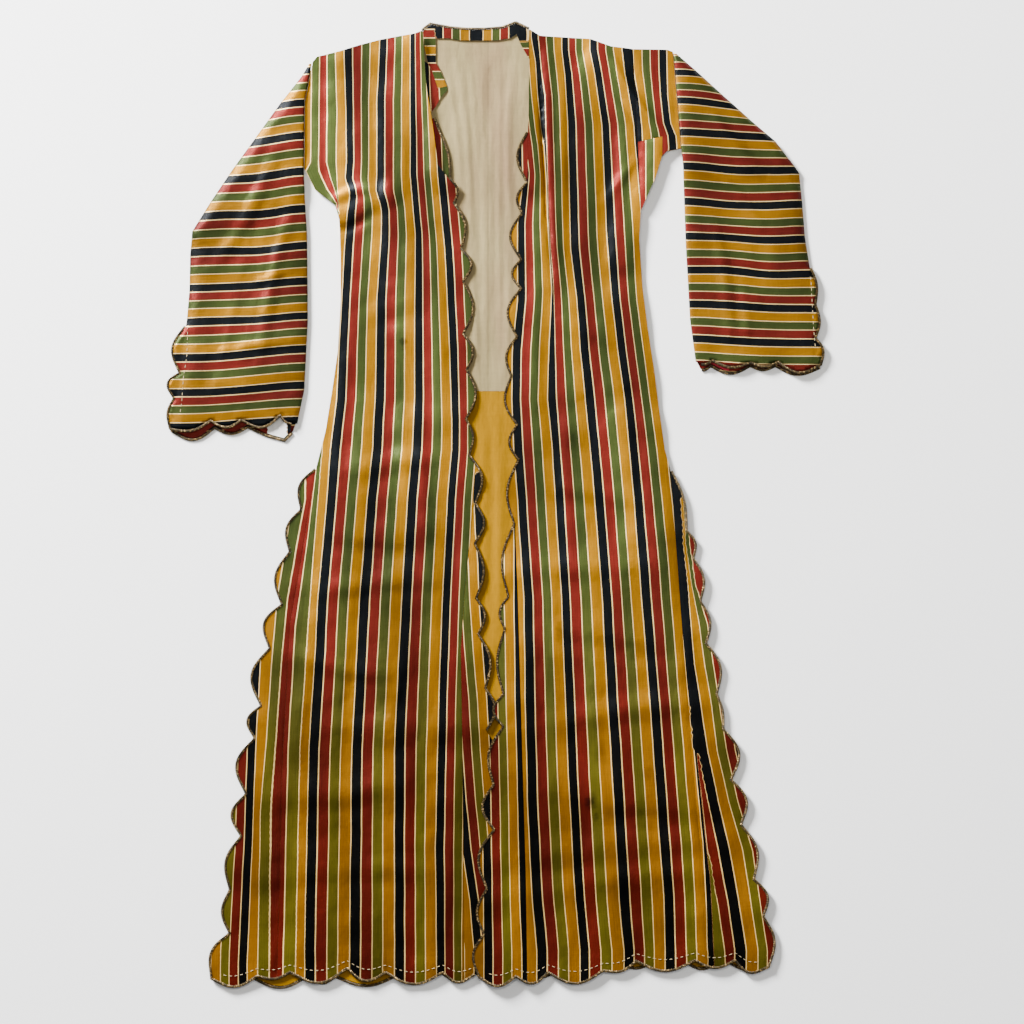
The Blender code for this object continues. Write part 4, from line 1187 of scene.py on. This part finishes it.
FOLD_CLEARANCE = 1.6        # of the fold's arc: inner points of the grid keep this far from it
FOLD_MARGIN = 3.0
FOLD_EDGE_GAP = 1.2
FOLD_SHARES = (-1, -0.6, -0.2, 0.2, 0.6, 1)
RELIEF_FADE = (1.0, 16.0)   # distances from the fold and the seam between which creases set in
RELIEF_FLOOR = -0.7


class Sleeve:
    """A sleeve laid flat: one sheet folded along its inner edge, with its seam along the outer one.

    The sheet's own coordinate runs from the seam of the under layer, below zero, through the fold
    at zero to the seam of the upper layer.
    """

    def __init__(self, inner, outer, head, side, slit_top, rows, seed):
        self.inner = inner
        self.outer = outer
        self.side = side
        self.slit_top = slit_top
        self.rows = rows
        self.seed = seed
        self.head_corner = np.array(max(head, key=lambda row: -row[1] - side * row[0]), float)
        self.head_end = np.array(max(head, key=lambda row: side * row[0]), float)

    def base(self, points):
        """Height that the sleeve lies at: on its folded head, then down to the table."""
        run = self.head_end - self.head_corner
        run = run / np.hypot(*run)
        down = np.array((run[1], -run[0])) * self.side
        return SLEEVE_Z * (1 - ease((points - self.head_corner) @ down, *HEAD_RAMP))

    def relief(self, points):
        """Creases of the upper layer, which fade towards the fold and the seam."""
        x, y = points.T
        to_fold = np.abs(x - edge_x(self.inner, y))
        to_seam = np.abs(edge_x(self.outer, y) - x)
        to_edge = np.minimum(to_fold, to_seam)
        fade = ease(to_edge, *RELIEF_FADE)
        fine = creases(points, self.rows) + ripples(points[:, ::-1], self.seed, *SLEEVE_RIPPLES)
        puff = SLEEVE_PUFF * (1 - (1 - np.minimum(to_edge / PUFF_REACH, 1.0)) ** 2)
        return np.maximum(fine, RELIEF_FLOOR) * fade + puff

    def place(self, sheet):
        """Where the points of the sheet lie on the folded sleeve."""
        across, y = sheet.T
        reach = np.abs(across)
        angle = np.minimum(reach, FOLD_ARC) / FOLD_RADIUS
        past = np.maximum(reach - FOLD_ARC, 0)
        out = FOLD_RADIUS * (1 - np.cos(angle)) + past
        rise = FOLD_RADIUS * np.sin(angle)
        x = edge_x(self.inner, y) + self.side * out
        flat = np.column_stack((x, y))
        height = FOLD_RADIUS + np.copysign(rise, across)
        to_seam = np.abs(edge_x(self.outer, y) - x)
        closing = SEAM_CLOSING * (1 - ease(to_seam, 0, SEAM_REACH))
        upper = across > 0
        height -= np.where(upper & (y > self.slit_top), closing, 0)
        height += np.where(upper, self.relief(flat), 0)
        return np.column_stack((flat, self.base(flat) + height))

    def on_sheet(self, points, layer):
        across = np.abs(points[:, 0] - edge_x(self.inner, points[:, 1])) - FOLD_RADIUS + FOLD_ARC
        return np.column_stack((layer * np.maximum(across, 0), points[:, 1]))

    def top(self, points):
        """Height of the sleeve's upper face."""
        return self.place(self.on_sheet(points, 1))[:, 2]


def sorted_by_x(points, side):
    return points[np.argsort(points[:, 0] * side, kind="stable")]


def sleeve_cloth(node, sleeve, slit, cuff_upper, cuff_under, stripes):
    seam = [(x, y) for x, y in sleeve.outer if y > sleeve.slit_top]
    under_slit = plain([row[:2] for row in slit])
    upper_slit = scalloped(slit, -sleeve.side)
    under_run = sleeve.on_sheet(np.vstack((seam, under_slit[:-1])), -1)
    upper_run = sleeve.on_sheet(np.vstack((seam, upper_slit[:-1])), 1)
    under_edge = sleeve.on_sheet(sorted_by_x(scalloped(cuff_under), sleeve.side), -1)
    upper_edge = sleeve.on_sheet(sorted_by_x(scalloped(cuff_upper), sleeve.side), 1)
    fold_y = cuff_upper[-1][1] if sleeve.side < 0 else cuff_upper[0][1]
    fold = np.array([(FOLD_ARC * share, fold_y) for share in (-1, -0.5, 0, 0.5, 1)])
    under_edge = under_edge[under_edge[:, 0] < -2 * FOLD_ARC]
    upper_edge = upper_edge[upper_edge[:, 0] > 2 * FOLD_ARC]
    loop = join_runs(under_run, under_edge[::-1], fold, upper_edge, upper_run[::-1])
    outline = refined(loop, FINE)
    extra = inner_grid(outline, FINE)
    extra = extra[np.abs(extra[:, 0]) > FOLD_ARC * FOLD_CLEARANCE]
    fold_rows = np.arange(loop[:, 1].min() + FOLD_MARGIN, loop[:, 1].max() - FOLD_MARGIN, FINE)
    arc = np.array([(FOLD_ARC * share, y) for y in fold_rows for share in FOLD_SHARES])
    arc = arc[inside(arc, outline)]
    arc = arc[distance_to_run(arc, np.vstack((outline, outline[:1]))) > FOLD_EDGE_GAP]
    points, faces = triangulated(outline, np.vstack((extra, arc)))
    corners = sleeve.place(points)
    if sleeve.side < 0:
        faces = faces[:, ::-1]
    obj = make_object(node + "_cloth", corners, faces.tolist(), looks["sleeve_satin"],
                      stripe_places(corners[:, :2], stripes, down=False))
    wall = obj.modifiers.new("wall", "SOLIDIFY")
    wall.thickness = SLEEVE_SILK * MM
    wall.offset = -1
    declare(obj, node)


def folded_head(node, head, lines):
    """Layers of cloth folded under a sleeve's head, each a little smaller than the one below."""
    rise = HEAD_HEIGHT / HEAD_LAYERS
    corners, faces, count = [], [], 0
    loop = join_runs(head)
    for layer in range(HEAD_LAYERS):
        outline = refined(shifted(loop, HEAD_INSET + HEAD_STEP * layer, closed=True), HEAD_SPACING)
        points, triangles = triangulated(outline, inner_grid(outline, HEAD_SPACING))
        corners.append(layer_corners(points, np.full(len(points), layer * rise), rise - HEAD_GAP))
        faces += [tuple(i + count for i in face) for face in shell_faces(triangles, len(points))]
        count += 2 * len(points)
    corners = np.vstack(corners)
    obj = make_object(node + "_cloth", corners, faces, looks["sleeve_satin"],
                      stripe_places(corners[:, :2], lines, down=False))
    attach(obj, "root")
    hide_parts(node)


def facing_stripes(points):
    """The cuffs' facings show one colour at a time: navy towards the right sleeve's fold, else red."""
    navy = (points[:, 0] > CUFF_NAVY_X) & (points[:, 0] < 0)
    place = np.where(navy, NAVY_PLACE, RED_PLACE)
    return np.column_stack((place, points[:, 1] * STRIPE_UNIT))


def build_sleeve(suffix, inner, outer, head, side, slit, cuff_upper, cuff_under, stripes, lining,
                 shown_lining, rows, seed, stitches):
    sleeve = Sleeve(inner, outer, head, side, slit[0][1], rows, seed)
    folded_head("sleeve_head_" + suffix, head, stripes)
    sleeve_cloth("sleeve_" + suffix, sleeve, slit, cuff_upper, cuff_under, stripes)

    clear = side * float(edge_x(inner, slit[-1][1])) + 2 * FOLD_ARC

    def from_slit(cuff):
        outward_first = sorted_by_x(scalloped(cuff), -side)
        return outward_first[side * outward_first[:, 0] > clear]

    def beside_upper(points):
        return sleeve.top(points) - SLEEVE_SILK - GAP

    upper_edge = np.vstack((scalloped(slit, -side)[:-1], from_slit(cuff_upper)))
    under_edge = from_slit(cuff_under)
    braid("braid_cuff_" + suffix, upper_edge, side, beside_upper, CUFF_BRAID_HEIGHT)
    braid("braid_under_" + suffix, under_edge, side, under_flat(GAP), CUFF_BRAID_HEIGHT)
    running_stitch("stitches_" + suffix, plain(stitches), sleeve.top)

    shown = shifted(under_edge, -side * CUFF_LINING_TUCK)
    top = slit[-1][1] + CUFF_LINING_DEPTH
    corners = [(shown[-1][0], top), (shown[0][0] - side * CUFF_LINING_SLANT, top)]
    facing = panel("cuff_lining_" + suffix, join_runs(shown, corners), under_flat(CUFF_LINING_Z),
                   facing_stripes, lining, LINEN, SMALL_SPACING)
    facing.data.materials.append(looks["satin"])
    for face in facing.data.polygons:
        x = face.center[0] / MM + CENTRE[0]
        face.material_index = 0 if any(low < x < high for low, high in shown_lining) else 1


SLEEVES = {
    "r": {
        "inner": SLEEVE_R_INNER, "outer": SLEEVE_R_OUTER, "head": HEAD_R, "side": -1, "slit": SLIT_R,
        "cuff_upper": CUFF_R_UPPER, "cuff_under": CUFF_R_UNDER, "stripes": SLEEVE_R_STRIPES,
        "lining": "cotton_white", "shown_lining": CUFF_WHITE_X, "rows": CREASES_SLEEVE_R, "seed": 7,
        "stitches": STITCHES_R},
    "l": {
        "inner": SLEEVE_L_INNER, "outer": SLEEVE_L_OUTER, "head": HEAD_L, "side": 1, "slit": SLIT_L,
        "cuff_upper": CUFF_L_UPPER, "cuff_under": CUFF_L_UNDER, "stripes": SLEEVE_L_STRIPES,
        "lining": "cotton_pink", "shown_lining": CUFF_PINK_X, "rows": CREASES_SLEEVE_L, "seed": 9,
        "stitches": STITCHES_L}}


# The studio

CAMERA_PLACE = (0.0233, -0.0096, 3.389)
LENS = 85.0
SENSOR = 36.0
FLOOR_REACH = 6.0
FLOOR_Z = -0.0004
LIGHTS = [   # name, place, target, size, power, colour
    ("sheen", (-0.15, 0.80, 2.6), (0.0, 0.35, 0.0), (1.5, 0.35), 30.0, (1.0, 0.95, 0.86)),
    ("key", (-3.0, 3.36, 1.72), (0.0, 0.1, 0.0), (1.1, 1.1), 1950.0, (1, 1, 1)),
    ("fill", (2.1, 0.1, 1.7), (0.0, 0.0, 0.0), (1.6, 1.6), 14.0, (1, 1, 1))]
WORLD_COLOUR = (0.96, 0.98, 1.0, 1.0)
WORLD_STRENGTH = 0.32


def placed(name, data, place):
    obj = bpy.data.objects.new(name, data)
    obj.location = place
    bpy.context.scene.collection.objects.link(obj)
    return obj


def build_camera():
    data = bpy.data.cameras.new("camera")
    data.lens = LENS
    data.sensor_width = SENSOR
    data.clip_end = 50.0
    bpy.context.scene.camera = placed("camera", data, CAMERA_PLACE)


def area_light(name, place, target, size, power, colour):
    data = bpy.data.lights.new(name, "AREA")
    data.shape = "RECTANGLE"
    data.size, data.size_y = size
    data.energy = power
    data.color = colour
    light = placed(name, data, place)
    light.rotation_euler = (Vector(target) - Vector(place)).to_track_quat("-Z", "Y").to_euler()


def build_studio():
    mesh = bpy.data.meshes.new("floor")
    square = ((-1, -1), (1, -1), (1, 1), (-1, 1))
    mesh.from_pydata([(FLOOR_REACH * x, FLOOR_REACH * y, FLOOR_Z) for x, y in square], [], [(0, 1, 2, 3)])
    mesh.materials.append(floor_material())
    placed("floor", mesh, (0, 0, 0))
    for light in LIGHTS:
        area_light(*light)
    world = bpy.data.worlds.new("studio")
    world.use_nodes = True
    background = world.node_tree.nodes["Background"]
    background.inputs["Color"].default_value = WORLD_COLOUR
    background.inputs["Strength"].default_value = WORLD_STRENGTH
    bpy.context.scene.world = world


build_camera()
build_studio()
looks = {
    "satin": satin_material("striped_satin", 1.0),
    "sleeve_satin": satin_material("sleeve_satin", SLEEVE_DIM),
    "linen": plain_cloth_material("cream_linen", LINEN_COLOUR, LINEN_SEAM_X, 0.20, LINEN_TINT),
    "cotton_yellow": plain_cloth_material("yellow_cotton", COTTON_YELLOW),
    "cotton_white": plain_cloth_material("white_cotton", COTTON_WHITE),
    "cotton_pink": plain_cloth_material("pink_cotton", COTTON_PINK),
    "braid": braid_material(),
    "thread": thread_material(),
}
build_back()
build_front_r()
build_front_l()
build_neck()
for suffix, parts in SLEEVES.items():
    build_sleeve(suffix, **parts)
